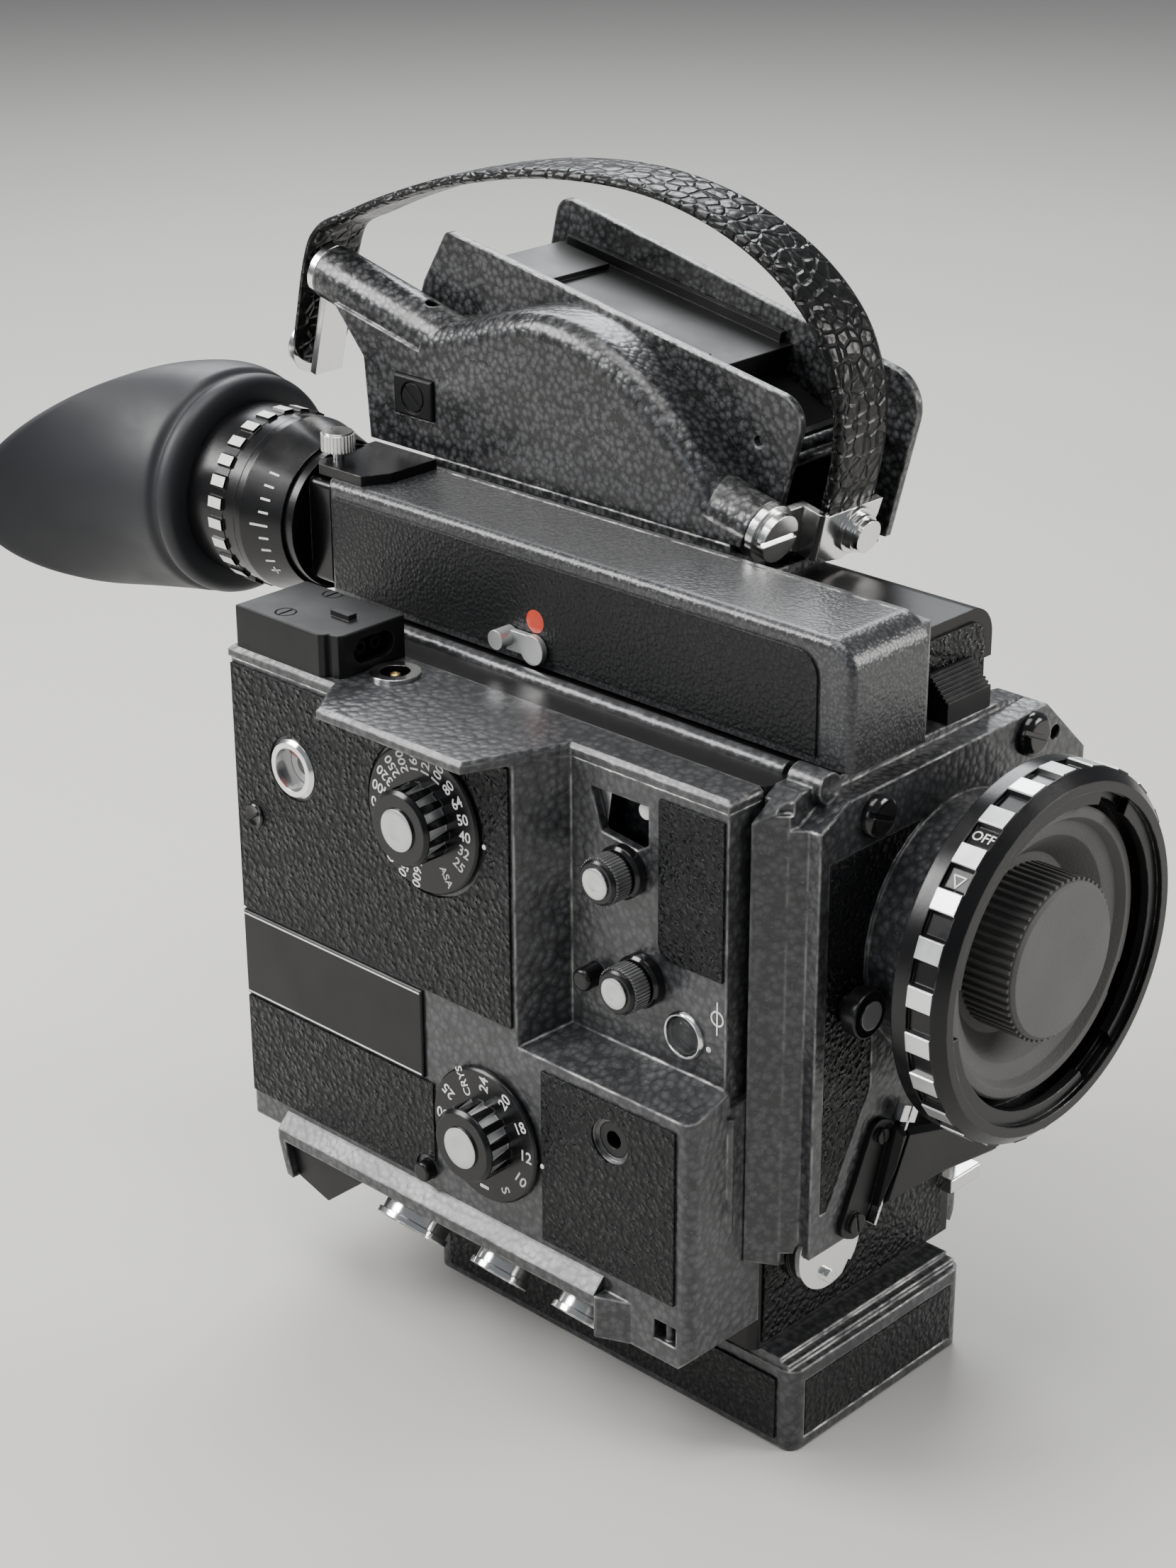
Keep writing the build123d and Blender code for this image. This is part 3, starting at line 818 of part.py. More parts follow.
# ---- film transport, shutter and motor inside ------------------------------------------------
shutter = rod_y(BODY_Y0 - 6.2, BODY_Y0 - 4.8, SHUTTER_X, SHUTTER_Z, SHUTTER_R)
shutter -= Pos(SHUTTER_X, BODY_Y0 - 5.5, SHUTTER_Z) * Rot(0, 62, 0) * Pos(22, 0, 0) * Box(30, 4, 26)
shutter += rod_y(BODY_Y0 - 6.8, BODY_Y0 + 3.5, SHUTTER_X, SHUTTER_Z, 3.0)
PARTS["shutter"] = shutter

MOTOR_Y0 = -22.0
MOTOR_Y1 = 48.0
can = rod_y(MOTOR_Y0, MOTOR_Y1, MOTOR_X, MOTOR_Z, 17.0)
can -= rod_y(MOTOR_Y0 + 2, MOTOR_Y1 - 2, MOTOR_X, MOTOR_Z, 15.0)
can -= rod_y(MOTOR_Y0 - 1, MOTOR_Y1 + 1, MOTOR_X, MOTOR_Z, 3.2)
can += box(BODY_X0 + WALL, MOTOR_X - 14, MOTOR_Y0, MOTOR_Y1, MOTOR_Z - 5, MOTOR_Z + 5) - rod_y(
    MOTOR_Y0 - 1, MOTOR_Y1 + 1, MOTOR_X, MOTOR_Z, 16.0)
PARTS["motor_can"] = can
rotor = rod_y(MOTOR_Y0 - 24, MOTOR_Y1 + 6, MOTOR_X, MOTOR_Z, 3.1)
rotor += rod_y(MOTOR_Y0 + 6, MOTOR_Y1 - 6, MOTOR_X, MOTOR_Z, 12.5)
rotor += wheel_y(MOTOR_Y0 - 22, MOTOR_Y0 - 14, MOTOR_X, MOTOR_Z, 24, 9.0, 8.0)
PARTS["motor_rotor"] = rotor

FILM_X0 = LENS_X - 9.5
FILM_X1 = LENS_X + 9.5
for label, sy, sz in SPROCKETS:
    drum = rod_x(FILM_X0 + 1, FILM_X1 - 1, sy, sz, 9.5)
    drum += wheel_x(FILM_X0 + 1, FILM_X0 + 2.5, sy, sz, 20, 12.4, 10.8, 0.3)
    drum += wheel_x(FILM_X1 - 2.5, FILM_X1 - 1, sy, sz, 20, 12.4, 10.8, 0.3)
    drum += rod_x(PARTITION_X - WALL - 6, FILM_X1 + 3, sy, sz, 2.5)
    PARTS["sprocket_" + label] = drum
for label, sy, sz in SPOOLS:
    reel = rod_x(FILM_X0, FILM_X0 + 1.2, sy, sz, 45.8) + rod_x(FILM_X1 - 1.2, FILM_X1, sy, sz, 45.8)
    for k in range(3):
        a = math.radians(90 + 120 * k)
        reel -= rod_x(FILM_X0 - 1, FILM_X1 + 1, sy + 29 * math.cos(a), sz + 29 * math.sin(a), 7.0)
    reel += rod_x(FILM_X0, FILM_X1, sy, sz, 16.0)
    reel += rod_x(PARTITION_X - WALL - 6, FILM_X1 + 3, sy, sz, 3.0)
    PARTS["spool_" + label] = reel
gate = box(FILM_X0 + 5.6, FILM_X1 - 0.5, BODY_Y0 + 4.0, BODY_Y0 + 7.5, LENS_Z - 24, LENS_Z + 24)
gate -= box(LENS_X - 5.2, LENS_X + 5.2, BODY_Y0 + 3, BODY_Y0 + 8, LENS_Z - 3.8, LENS_Z + 3.8)
press = box(LENS_X - 7, LENS_X + 7, BODY_Y0 + 7.9, BODY_Y0 + 10.5, LENS_Z - 18, LENS_Z + 18)
press += box(PARTITION_X, LENS_X, BODY_Y0 + 10.4, BODY_Y0 + 12.5, LENS_Z + 6, LENS_Z + 14)
PARTS["film_gate"] = gather([gate, press])

for name, shape in PARTS.items():
    export_step(shape, "parts/" + name + ".step")
print(len(PARTS), "nodes")
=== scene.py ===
import math

import bpy
from mathutils import Matrix, Vector


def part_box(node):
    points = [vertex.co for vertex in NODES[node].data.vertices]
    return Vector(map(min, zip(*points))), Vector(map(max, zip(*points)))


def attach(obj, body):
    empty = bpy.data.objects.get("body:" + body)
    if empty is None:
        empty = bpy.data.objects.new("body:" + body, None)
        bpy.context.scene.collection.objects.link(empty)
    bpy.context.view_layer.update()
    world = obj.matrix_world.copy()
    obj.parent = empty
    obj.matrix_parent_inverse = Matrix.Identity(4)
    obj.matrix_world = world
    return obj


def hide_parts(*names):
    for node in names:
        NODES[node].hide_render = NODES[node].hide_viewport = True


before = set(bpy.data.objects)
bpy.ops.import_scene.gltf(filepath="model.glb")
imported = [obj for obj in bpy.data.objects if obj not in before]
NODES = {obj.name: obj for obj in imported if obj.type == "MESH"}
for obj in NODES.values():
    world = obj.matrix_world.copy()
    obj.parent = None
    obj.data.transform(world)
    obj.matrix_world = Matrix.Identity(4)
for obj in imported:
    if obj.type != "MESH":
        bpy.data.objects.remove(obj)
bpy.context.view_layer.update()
MM = 0.001
TAU = 2 * math.pi
PRINT = 0.12  # height of printed marks, millimetres


# ---- materials ---------------------------------------------------------------------------
class Graph:
    """A Principled material with short calls for the nodes that feed it."""

    def __init__(self, name, colour, rough, metal=0.0, **values):
        self.mat = bpy.data.materials.new(name)
        self.mat.use_nodes = True
        self.tree = self.mat.node_tree
        self.shader = self.tree.nodes["Principled BSDF"]
        self.shader.inputs["Base Color"].default_value = (*colour, 1)
        self.shader.inputs["Roughness"].default_value = rough
        self.shader.inputs["Metallic"].default_value = metal
        for key, value in values.items():
            self.shader.inputs[key.replace("_", " ")].default_value = value
        self.mat.diffuse_color = (*colour, 1)
        self.place = self.node("ShaderNodeTexCoord").outputs["Object"]

    def node(self, kind, settings=None, **inputs):
        made = self.tree.nodes.new(kind)
        for key, value in (settings or {}).items():
            setattr(made, key, value)
        for key, value in inputs.items():
            self.feed(made.inputs[key.replace("_", " ")], value)
        return made

    def noise(self, scale, detail=3.0, rough=0.5, place=None):
        made = self.node("ShaderNodeTexNoise", Vector=place or self.place, Scale=scale, Detail=detail,
                         Roughness=rough)
        return made.outputs["Fac"]

    def cells(self, scale, feature, wobble):
        """Voronoi distance, with its cells pushed about by up to the wobble, in metres."""
        drift = self.node("ShaderNodeTexNoise", Vector=self.place, Scale=scale * 0.7, Detail=2.0)
        shift = self.node("ShaderNodeVectorMath", {"operation": "MULTIPLY_ADD"})
        self.tree.links.new(drift.outputs["Color"], shift.inputs[0])
        shift.inputs[1].default_value = (wobble,) * 3
        self.tree.links.new(self.place, shift.inputs[2])
        made = self.node("ShaderNodeTexVoronoi", {"feature": feature}, Vector=shift.outputs["Vector"],
                         Scale=scale)
        if feature == "SMOOTH_F1":
            made.inputs["Smoothness"].default_value = 0.25
        return made.outputs["Distance"]

    def ramp(self, fac, *stops):
        """Grey ramp through (position, value) stops."""
        made = self.node("ShaderNodeValToRGB", Fac=fac)
        ends = made.color_ramp.elements
        while len(ends) < len(stops):
            ends.new(0.5)
        for element, (where, value) in zip(ends, stops):
            element.position = where
            element.color = (value, value, value, 1)
        return made.outputs["Color"]

    def feed(self, socket, value):
        if isinstance(value, bpy.types.NodeSocket):
            self.tree.links.new(value, socket)
        else:
            socket.default_value = value

    def math(self, operation, a, b, clamp=False):
        made = self.node("ShaderNodeMath", {"operation": operation, "use_clamp": clamp})
        self.feed(made.inputs[0], a)
        self.feed(made.inputs[1], b)
        return made.outputs["Value"]

    def blend(self, fac, a, b):
        """Colour mix from a to b; in RGBA mode these are sockets 6 and 7, and the result is output 2."""
        made = self.node("ShaderNodeMix", {"data_type": "RGBA"})
        self.feed(made.inputs[0], fac)
        self.feed(made.inputs[6], (*a, 1) if isinstance(a, tuple) else a)
        self.feed(made.inputs[7], (*b, 1) if isinstance(b, tuple) else b)
        return made.outputs[2]

    def bump(self, height, strength, depth, under=None):
        made = self.node("ShaderNodeBump", Strength=strength, Distance=depth, Height=height)
        if under:
            self.tree.links.new(under, made.inputs["Normal"])
        return made.outputs["Normal"]

    def soft(self, radius):
        """Normal that rounds the mesh's edges by the radius."""
        return self.node("ShaderNodeBevel", {"samples": 4}, Radius=radius).outputs["Normal"]

    def edge(self, radius):
        """(rounded normal, 0..1 value that is high along edges)."""
        soft = self.soft(radius)
        flat = self.node("ShaderNodeNewGeometry").outputs["True Normal"]
        dot = self.node("ShaderNodeVectorMath", {"operation": "DOT_PRODUCT"})
        self.tree.links.new(soft, dot.inputs[0])
        self.tree.links.new(flat, dot.inputs[1])
        return soft, self.math("SUBTRACT", 1.0, dot.outputs["Value"], clamp=True)

    def set(self, socket, source):
        self.tree.links.new(source, self.shader.inputs[socket])


def hammer_paint(name, dark, light, scale=430.0, contrast=0.75, fine=0.0005):
    """Hammered enamel: shallow cells, lighter in the middle, edges painted lighter: partly rubbed wear,
    partly a painted highlight.
    """
    g = Graph(name, dark, 0.4, 0.3, Coat_Weight=0.35, Coat_Roughness=0.22)
    cell = g.cells(scale, "SMOOTH_F1", wobble=0.0006)
    cloud = g.noise(26.0, 4.0)
    fleck = g.noise(1300.0, 2.0)
    heart = g.ramp(cell, (0.22, 1.0), (0.62, 1.0 - contrast))
    shade = g.math("MULTIPLY", heart, g.ramp(cloud, (0.3, 0.72), (0.7, 1.0)))
    base = g.blend(shade, dark, light)
    base = g.blend(g.ramp(fleck, (0.58, 0.0), (0.78, 0.4)), base, tuple(c * 2.4 for c in light))
    soft, edge = g.edge(0.0011)
    # edge colour painted light grey: partly rubbed wear, partly a painted highlight along the rounded edges
    rubbed_and_lit_edge = g.math("MULTIPLY", g.ramp(edge, (0.015, 0.0), (0.12, 1.0)),
                    g.ramp(g.noise(200.0, 5.0), (0.38, 0.05), (0.62, 0.8)))
    g.set("Base Color", g.blend(rubbed_and_lit_edge, base, (0.45, 0.45, 0.44)))
    g.set("Metallic", g.math("ADD", g.math("MULTIPLY", rubbed_and_lit_edge, 0.5), 0.3))
    g.set("Roughness", g.ramp(g.noise(60.0, 4.0), (0.3, 0.27), (0.75, 0.44)))
    g.set("Normal", g.bump(g.math("SUBTRACT", 1.0, cell), 0.55, fine, soft))
    return g.mat


def leather(name, scale, depth, colour, gloss, rough, dome=1.2, fold=0.25):
    """Pebbled leather: raised domes and creases; rough is for the (tops, creases)."""
    g = Graph(name, colour, 0.4, 0.0, Specular_IOR_Level=gloss)
    domes = g.cells(scale, "SMOOTH_F1", wobble=0.3 / scale)
    crease = g.cells(scale * 0.55, "DISTANCE_TO_EDGE", wobble=0.5 / scale)
    height = g.math("SUBTRACT", 1.0, g.math("MULTIPLY", domes, dome))
    height = g.math("ADD", height, g.ramp(crease, (0.0, 0.0), (0.16, fold)))
    height = g.math("ADD", height, g.math("MULTIPLY", g.noise(scale * 0.25, 2.0), 0.25))
    lift = g.ramp(height, (0.7, 0.0), (1.0, 1.0))
    # pebble tops painted lighter in patches: partly dust, partly a painted sheen on the pebbles
    dust_and_sheen = g.ramp(g.noise(14.0, 5.0), (0.4, 0.15), (0.75, 0.8))
    dusty = tuple(c * 2.2 + 0.006 for c in colour)
    g.set("Base Color", g.blend(g.math("MULTIPLY", lift, dust_and_sheen), colour, dusty))
    g.set("Roughness", g.ramp(height, (0.5, rough[1]), (1.0, rough[0])))
    g.set("Normal", g.bump(height, 0.8, depth, g.soft(0.0005)))
    return g.mat


def enamel(name, colour, rough, metal=0.0, grain=900.0, depth=0.00003, edge_wear_and_highlight=0.25, **values):
    """Smooth black finish with faint orange peel, dust, and edges painted lighter: partly rubbed wear,
    partly a painted highlight.
    """
    g = Graph(name, colour, rough, metal, **values)
    soft, edge = g.edge(0.0005)
    smear = g.noise(45.0, 5.0, 0.6)
    g.set("Roughness", g.ramp(smear, (0.3, rough - 0.08), (0.75, rough + 0.12)))
    # edges painted lighter in the worn colour: partly rubbed wear, partly a painted highlight
    rubbed_and_lit_edge = g.math("MULTIPLY", g.ramp(edge, (0.06, 0.0), (0.25, 1.0)),
                    g.ramp(g.noise(240.0, 4.0), (0.5, 0.0), (0.68, edge_wear_and_highlight)))
    worn = tuple(c + 0.3 for c in colour)
    dusty = tuple(c * 1.8 + 0.006 for c in colour)
    base = g.blend(g.ramp(g.noise(18.0, 4.0), (0.4, 0.0), (0.8, 0.3)), colour, dusty)
    g.set("Base Color", g.blend(rubbed_and_lit_edge, base, worn))
    g.set("Normal", g.bump(g.noise(grain, 3.0), 0.35, depth, soft))
    return g.mat


def bright(name, colour, rough, brushed=None, metal=1.0):
    """Chrome or turned metal with smudges and, if asked for, fine lines across one direction."""
    g = Graph(name, colour, rough, metal)
    soft = g.soft(0.0004)
    smudge = g.noise(70.0, 5.0, 0.62)
    g.set("Roughness", g.ramp(smudge, (0.3, rough - 0.05), (0.75, rough + 0.16)))
    dull = tuple(c * 0.72 for c in colour)
    g.set("Base Color", g.blend(g.ramp(g.noise(30.0, 4.0), (0.35, 0.0), (0.8, 0.4)), colour, dull))
    if brushed:
        lines = g.node("ShaderNodeMapping", Vector=g.place, Scale=brushed).outputs["Vector"]
        g.set("Normal", g.bump(g.noise(1.0, 3.0, place=lines), 0.3, 0.00002, soft))
    else:
        g.set("Normal", g.bump(g.noise(260.0, 3.0), 0.12, 0.00003, soft))
    return g.mat


def glassy(name, colour, rough, alpha):
    """Thin clear cover: mostly see-through, with a sharp reflection."""
    g = Graph(name, colour, rough, 0.0, Alpha=alpha, Specular_IOR_Level=1.0, Coat_Weight=1.0,
              Coat_Roughness=0.02)
    g.set("Roughness", g.ramp(g.noise(90.0, 4.0), (0.4, rough), (0.8, rough + 0.1)))
    return g.mat


def paint(name, colour, rough):
    """Thin printed or enamelled marking."""
    g = Graph(name, colour, rough)
    worn = tuple(c * 0.82 for c in colour)
    g.set("Base Color", g.blend(g.ramp(g.noise(500.0, 4.0), (0.35, 0.0), (0.7, 1.0)), worn, colour))
    g.set("Roughness", g.ramp(g.noise(200.0, 3.0), (0.3, rough - 0.06), (0.8, rough + 0.1)))
    return g.mat


HAMMER = hammer_paint("hammer_paint", (0.014, 0.0145, 0.016), (0.068, 0.07, 0.075))
SPECKLE = hammer_paint("speckled_paint", (0.01, 0.0103, 0.011), (0.085, 0.087, 0.092), 480.0, 0.95)
FINE_PAINT = hammer_paint("fine_paint", (0.022, 0.0225, 0.024), (0.07, 0.072, 0.076), 900.0, 0.8,
                          0.0003)
LEATHERETTE = leather("leatherette", 540.0, 0.0007, (0.003, 0.0033, 0.004), 0.3, (0.14, 0.5))
TUBE_SKIN = leather("tube_skin", 800.0, 0.00025, (0.008, 0.0083, 0.009), 0.35, (0.3, 0.5))
STRAP_LEATHER = leather("strap_leather", 400.0, 0.0006, (0.004, 0.004, 0.0042), 0.3, (0.3, 0.5), 0.45,
                        0.8)
BLACK = enamel("black_enamel", (0.004, 0.004, 0.0043), 0.36, Specular_IOR_Level=0.3)
GLOSS = enamel("black_gloss", (0.005, 0.005, 0.0055), 0.14, edge_wear_and_highlight=0.1)
ANODISED = enamel("black_anodised", (0.006, 0.006, 0.0068), 0.24, 0.3, edge_wear_and_highlight=0.5)
PLASTIC = enamel("black_plastic", (0.005, 0.0052, 0.0057), 0.42, edge_wear_and_highlight=0.3, grain=1400.0,
                 Specular_IOR_Level=0.3)
RUBBER = enamel("rubber", (0.013, 0.0145, 0.018), 0.5, edge_wear_and_highlight=0.1, grain=2600.0, depth=0.00005)
GREY = enamel("grey_plastic", (0.1, 0.098, 0.096), 0.78, edge_wear_and_highlight=0.3, grain=1700.0, depth=0.0005)
CHROME = bright("chrome", (0.86, 0.86, 0.85), 0.13)
STEEL = bright("steel", (0.55, 0.55, 0.56), 0.34)
SILVER = bright("silver_facet", (0.86, 0.87, 0.88), 0.3, brushed=(40.0, 4000.0, 40.0), metal=0.85)
TURNED = bright("turned_aluminium", (0.6, 0.61, 0.61), 0.3, metal=0.75)
BRASS = bright("brass", (0.72, 0.52, 0.22), 0.3)
WHITE = paint("white_marking", (0.82, 0.82, 0.80), 0.45)
RED = paint("red_enamel", (0.62, 0.06, 0.03), 0.35)
BOARD = paint("board_green", (0.03, 0.1, 0.04), 0.5)
GLASS = glassy("clear_glass", (0.3, 0.32, 0.33), 0.03, 0.1)
LENS_GLASS = glassy("lens_glass", (0.04, 0.05, 0.07), 0.03, 0.75)

FINISH = {
    "foot_block": HAMMER, "film_door": HAMMER, "trim_rails": HAMMER, "side_housing": HAMMER,
    "housing_lid": HAMMER, "front_plate": HAMMER, "finder_tube": FINE_PAINT, "saddle_floor": SPECKLE,
    "saddle_casting": SPECKLE, "saddle_plates": SPECKLE, "body_shell": BLACK, "leather_panels": LEATHERETTE,
    "meter_needle": BLACK, "name_plate": BLACK, "connector_wedge": BLACK, "remote_bush": ANODISED,
    "filter_cover": BLACK, "spool_supply": BLACK, "spool_takeup": BLACK, "asa_dial": ANODISED,
    "fps_dial": ANODISED, "control_knob_upper": ANODISED, "control_knob_lower": ANODISED,
    "test_button": ANODISED, "lock_button": ANODISED, "bayonet_ring": ANODISED,
    "release_button": ANODISED, "setting_knob": ANODISED, "eyepiece_adapter": ANODISED,
    "scale_ring": ANODISED, "diopter_ring": ANODISED, "accessory_block": PLASTIC,
    "thumb_slide": PLASTIC, "saddle_button": PLASTIC, "magazine_cover": PLASTIC,
    "door_latch": CHROME, "meter_bezel": CHROME, "top_socket": CHROME, "under_sockets": CHROME,
    "plate_screws": CHROME, "filter_slide": CHROME, "thumb_lever": CHROME, "thumb_screw": CHROME,
    "strap_brackets": CHROME, "finder_lever": TURNED, "sprocket_upper": TURNED,
    "sprocket_lower": TURNED, "tripod_bushes": STEEL, "mount_flange": STEEL, "shutter": STEEL,
    "motor_can": STEEL, "motor_rotor": STEEL, "film_gate": BRASS, "circuit_board": BOARD,
    "body_cap": GREY, "meter_glass": GLASS, "signal_lamp": GLASS, "eye_lens": LENS_GLASS,
    "eyecup": RUBBER, "carry_strap": STRAP_LEATHER,
}
for node_name, material in FINISH.items():
    mesh = NODES[node_name].data
    mesh.materials.clear()
    mesh.materials.append(material)


def repaint(node_name, material, test):
    """A second finish for the faces of a CAD node whose centre, in millimetres, and normal pass."""
    mesh = NODES[node_name].data
    mesh.materials.append(material)
    slot = len(mesh.materials) - 1
    for face in mesh.polygons:
        if test(face.center / MM, face.normal):
            face.material_index = slot


HOUSE_X = -67.7  # outer face of the side housing
RECESS_X = -52.9  # floor of the recess in it
SKIN_X = HOUSE_X - 0.7  # outer face of its leatherette
EYE_X, EYE_Z = -7.4, 216.0  # axis of the eyepiece
SOCKET_X, SOCKET_Y = -51.0, 66.0  # axis of the socket in the lid
UPPER_KNOB = (-22.1, 167.3)  # Y and Z of the knobs in the recess
LOWER_KNOB = (-28.7, 138.0)


def socket_bore(c, n):
    return math.hypot(c.x - SOCKET_X, c.y - SOCKET_Y) < 4.4 and c.z < 197.9


def diopter_tooth(c, n):
    return math.hypot(c.x - EYE_X, c.z - EYE_Z) > 26.95 and abs(n.y) < 0.2


repaint("plate_screws", GLOSS, lambda c, n: c.z > 150)
repaint("top_socket", BLACK, socket_bore)
repaint("release_button", TURNED, lambda c, n: c.y < -81.7)
repaint("leather_panels", TUBE_SKIN, lambda c, n: c.z > 198 and c.x < -20)
repaint("diopter_ring", WHITE, diopter_tooth)
for knob_name, (knob_y, knob_z) in (("control_knob_upper", UPPER_KNOB), ("control_knob_lower", LOWER_KNOB)):
    def knurl(c, n, y=knob_y, z=knob_z):
        return -10.1 < c.x - RECESS_X < -5.1 and math.hypot(c.y - y, c.z - z) > 6.15 and abs(n.x) < 0.2

    def collar(c, n):
        return c.x - RECESS_X > -3.7

    repaint(knob_name, STEEL, knurl)
    repaint(knob_name, GLOSS, collar)


# ---- mesh helpers ------------------------------------------------------------------------
def make(name, verts, faces, material, body, sharp=38.0):
    """New piece from vertices in millimetres, riding on a body, with edges sharp above the angle."""
    mesh = bpy.data.meshes.new(name)
    mesh.from_pydata([Vector(v) * MM for v in verts], [], faces)
    mesh.validate()
    mesh.shade_smooth()
    mesh.set_sharp_from_angle(angle=math.radians(sharp))
    mesh.materials.append(material)
    piece = bpy.data.objects.new(name, mesh)
    bpy.context.scene.collection.objects.link(piece)
    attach(piece, body)
    return piece


def axes(direction):
    """Two unit vectors square to a direction."""
    d = Vector(direction).normalized()
    side = Vector((0, 0, 1)) if abs(d.z) < 0.9 else Vector((0, 1, 0))
    a = side.cross(d).normalized()
    return d, a, d.cross(a)


def lathe(name, profile, origin, direction, material, body, steps=72, closed=False):
    """Turned piece; profile is (height along the direction, radius) pairs, closed makes it a ring."""
    d, a, b = axes(direction)
    verts = []
    faces = []
    rows = []
    for height, radius in profile:
        centre = Vector(origin) + d * height
        if radius < 1e-6:
            rows.append([len(verts)])
            verts.append(centre)
            continue
        rows.append(list(range(len(verts), len(verts) + steps)))
        for i in range(steps):
            t = TAU * i / steps
            verts.append(centre + (a * math.cos(t) + b * math.sin(t)) * radius)
    pairs = list(zip(rows, rows[1:]))
    if closed:
        pairs.append((rows[-1], rows[0]))
    for row, after in pairs:
        for i in range(steps):
            j = (i + 1) % steps
            if len(row) == 1:
                faces.append((row[0], after[j], after[i]))
            elif len(after) == 1:
                faces.append((row[i], row[j], after[0]))
            else:
                faces.append((row[i], row[j], after[j], after[i]))
    return make(name, verts, faces, material, body)


def slab(name, outline, origin, right, up, thick, material, body):
    """Flat piece from an outline of (right, up) pairs, as thick as given towards right x up."""
    r = Vector(right).normalized()
    u = Vector(up).normalized()
    out = r.cross(u)
    o = Vector(origin)
    count = len(outline)
    under = [o + r * p + u * q for p, q in outline]
    verts = under + [v + out * thick for v in under]
    faces = [tuple(range(count))[::-1], tuple(range(count, 2 * count))]
    faces += [(i, (i + 1) % count, count + (i + 1) % count, count + i) for i in range(count)]
    return make(name, verts, faces, material, body)


def rounded(x0, y0, x1, y1, radius, steps=6):
    """Outline of a rectangle with round corners."""
    points = []
    for cx, cy, start in ((x1 - radius, y1 - radius, 0), (x0 + radius, y1 - radius, 90),
                          (x0 + radius, y0 + radius, 180), (x1 - radius, y0 + radius, 270)):
        for i in range(steps + 1):
            t = math.radians(start + 90.0 * i / steps)
            points.append((cx + radius * math.cos(t), cy + radius * math.sin(t)))
    return points


def lettering(name, text, size, origin, right, up, body):
    """Raised white numeral or generic word, centred on the origin."""
    curve = bpy.data.curves.new(name, "FONT")
    curve.body = text
    curve.size = size
    curve.extrude = PRINT / 2
    curve.offset = size * 0.012
    curve.align_x = "CENTER"
    curve.align_y = "CENTER"
    curve.resolution_u = 3
    holder = bpy.data.objects.new(name + "_curve", curve)
    bpy.context.scene.collection.objects.link(holder)
    bpy.context.view_layer.update()
    mesh = bpy.data.meshes.new_from_object(holder.evaluated_get(bpy.context.evaluated_depsgraph_get()))
    bpy.data.objects.remove(holder)
    r = Vector(right).normalized()
    u = Vector(up).normalized()
    turn = Matrix((r, u, r.cross(u))).transposed().to_4x4()
    mesh.transform(Matrix.Translation(Vector(origin) * MM) @ turn @ Matrix.Scale(MM, 4))
    mesh.materials.clear()
    mesh.materials.append(WHITE)
    piece = bpy.data.objects.new(name, mesh)
    bpy.context.scene.collection.objects.link(piece)
    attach(piece, body)


def low(node_name, axis):
    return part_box(node_name)[0][axis] / MM


def high(node_name, axis):
    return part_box(node_name)[1][axis] / MM


def middle(node_name):
    a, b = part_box(node_name)
    return (a + b) / 2 / MM


# ---- dials on the side ---------------------------------------------------------------------
LEFT = (0, -1, 0)
UP = (0, 0, 1)
OUT = (-1, 0, 0)


def ring_labels(prefix, labels, centre, face_x, radius, size, body):
    """Numerals round a dial, each reading outwards; labels are (text, degrees) pairs."""
    for text, turn in labels:
        t = math.radians(turn)
        along = Vector((0, -math.cos(t), math.sin(t)))
        upward = Vector(OUT).cross(along)
        spot = Vector((face_x, centre.y, centre.z)) + along * radius
        height = size * 0.8 if text in ("ASA", "CRYS") else size
        lettering(prefix + text.lower(), text, height, spot, along, upward, body)


ASA_STEPS = ("25", "32", "40", "50", "64", "80", "100", "125", "160", "200", "250", "320", "400", "500",
             "640", "800", "1000", "1250", "1600")
asa = middle("asa_dial")
fps = middle("fps_dial")
SHAFT = 9.0  # the dials' shafts run this far behind their engraved discs
DISC = 1.8  # thickness of a disc
asa_face = high("asa_dial", 0) - SHAFT - DISC
fps_face = high("fps_dial", 0) - SHAFT - DISC
asa_labels = [(text, -32.0 + 16.3 * i) for i, text in enumerate(ASA_STEPS)] + [("ASA", -57.0)]
ring_labels("asa_", asa_labels, asa, asa_face, 16.6, 4.3, "asa_dial")
FPS_STEPS = ("S", "10", "12", "18", "20", "24", "CRYS", "25", "50")
fps_labels = [(text, -60.0 + 29.6 * i) for i, text in enumerate(FPS_STEPS)]
ring_labels("fps_", fps_labels, fps, fps_face, 16.2, 4.7, "fps_dial")
slab("fps_bar", rounded(-1.7, -0.5, 1.7, 0.5, 0.3), (fps_face, fps.y, fps.z - 16.2), LEFT, UP, PRINT,
     WHITE, "fps_dial")


def turned_cap(name, node_name, radius):
    """Bright turned disc let into the end of a knob that points to -X."""
    spot = middle(node_name)
    profile = [(-0.4, 0), (-0.4, radius), (0.15, radius), (0.3, radius - 0.25), (0.3, radius * 0.45),
               (0.24, radius * 0.42), (0.24, 0)]
    lathe(name, profile, (low(node_name, 0), spot.y, spot.z), OUT, TURNED, node_name, steps=48)


pin_profile = [(-3.0, 0), (-3.0, 1.5), (-0.9, 1.5), (-0.6, 1.2), (-0.5, 0.5), (-0.9, 0.4), (-0.9, 0)]
lathe("top_socket_pin", pin_profile, (SOCKET_X, SOCKET_Y, high("top_socket", 2)), UP, BRASS,
      "camera_body", steps=32)
for cap_name, knob_name, cap_radius in (
        ("asa_cap", "asa_dial", 6.0), ("fps_cap", "fps_dial", 6.0),
        ("upper_knob_cap", "control_knob_upper", 4.3), ("lower_knob_cap", "control_knob_lower", 4.3)):
    turned_cap(cap_name, knob_name, cap_radius)

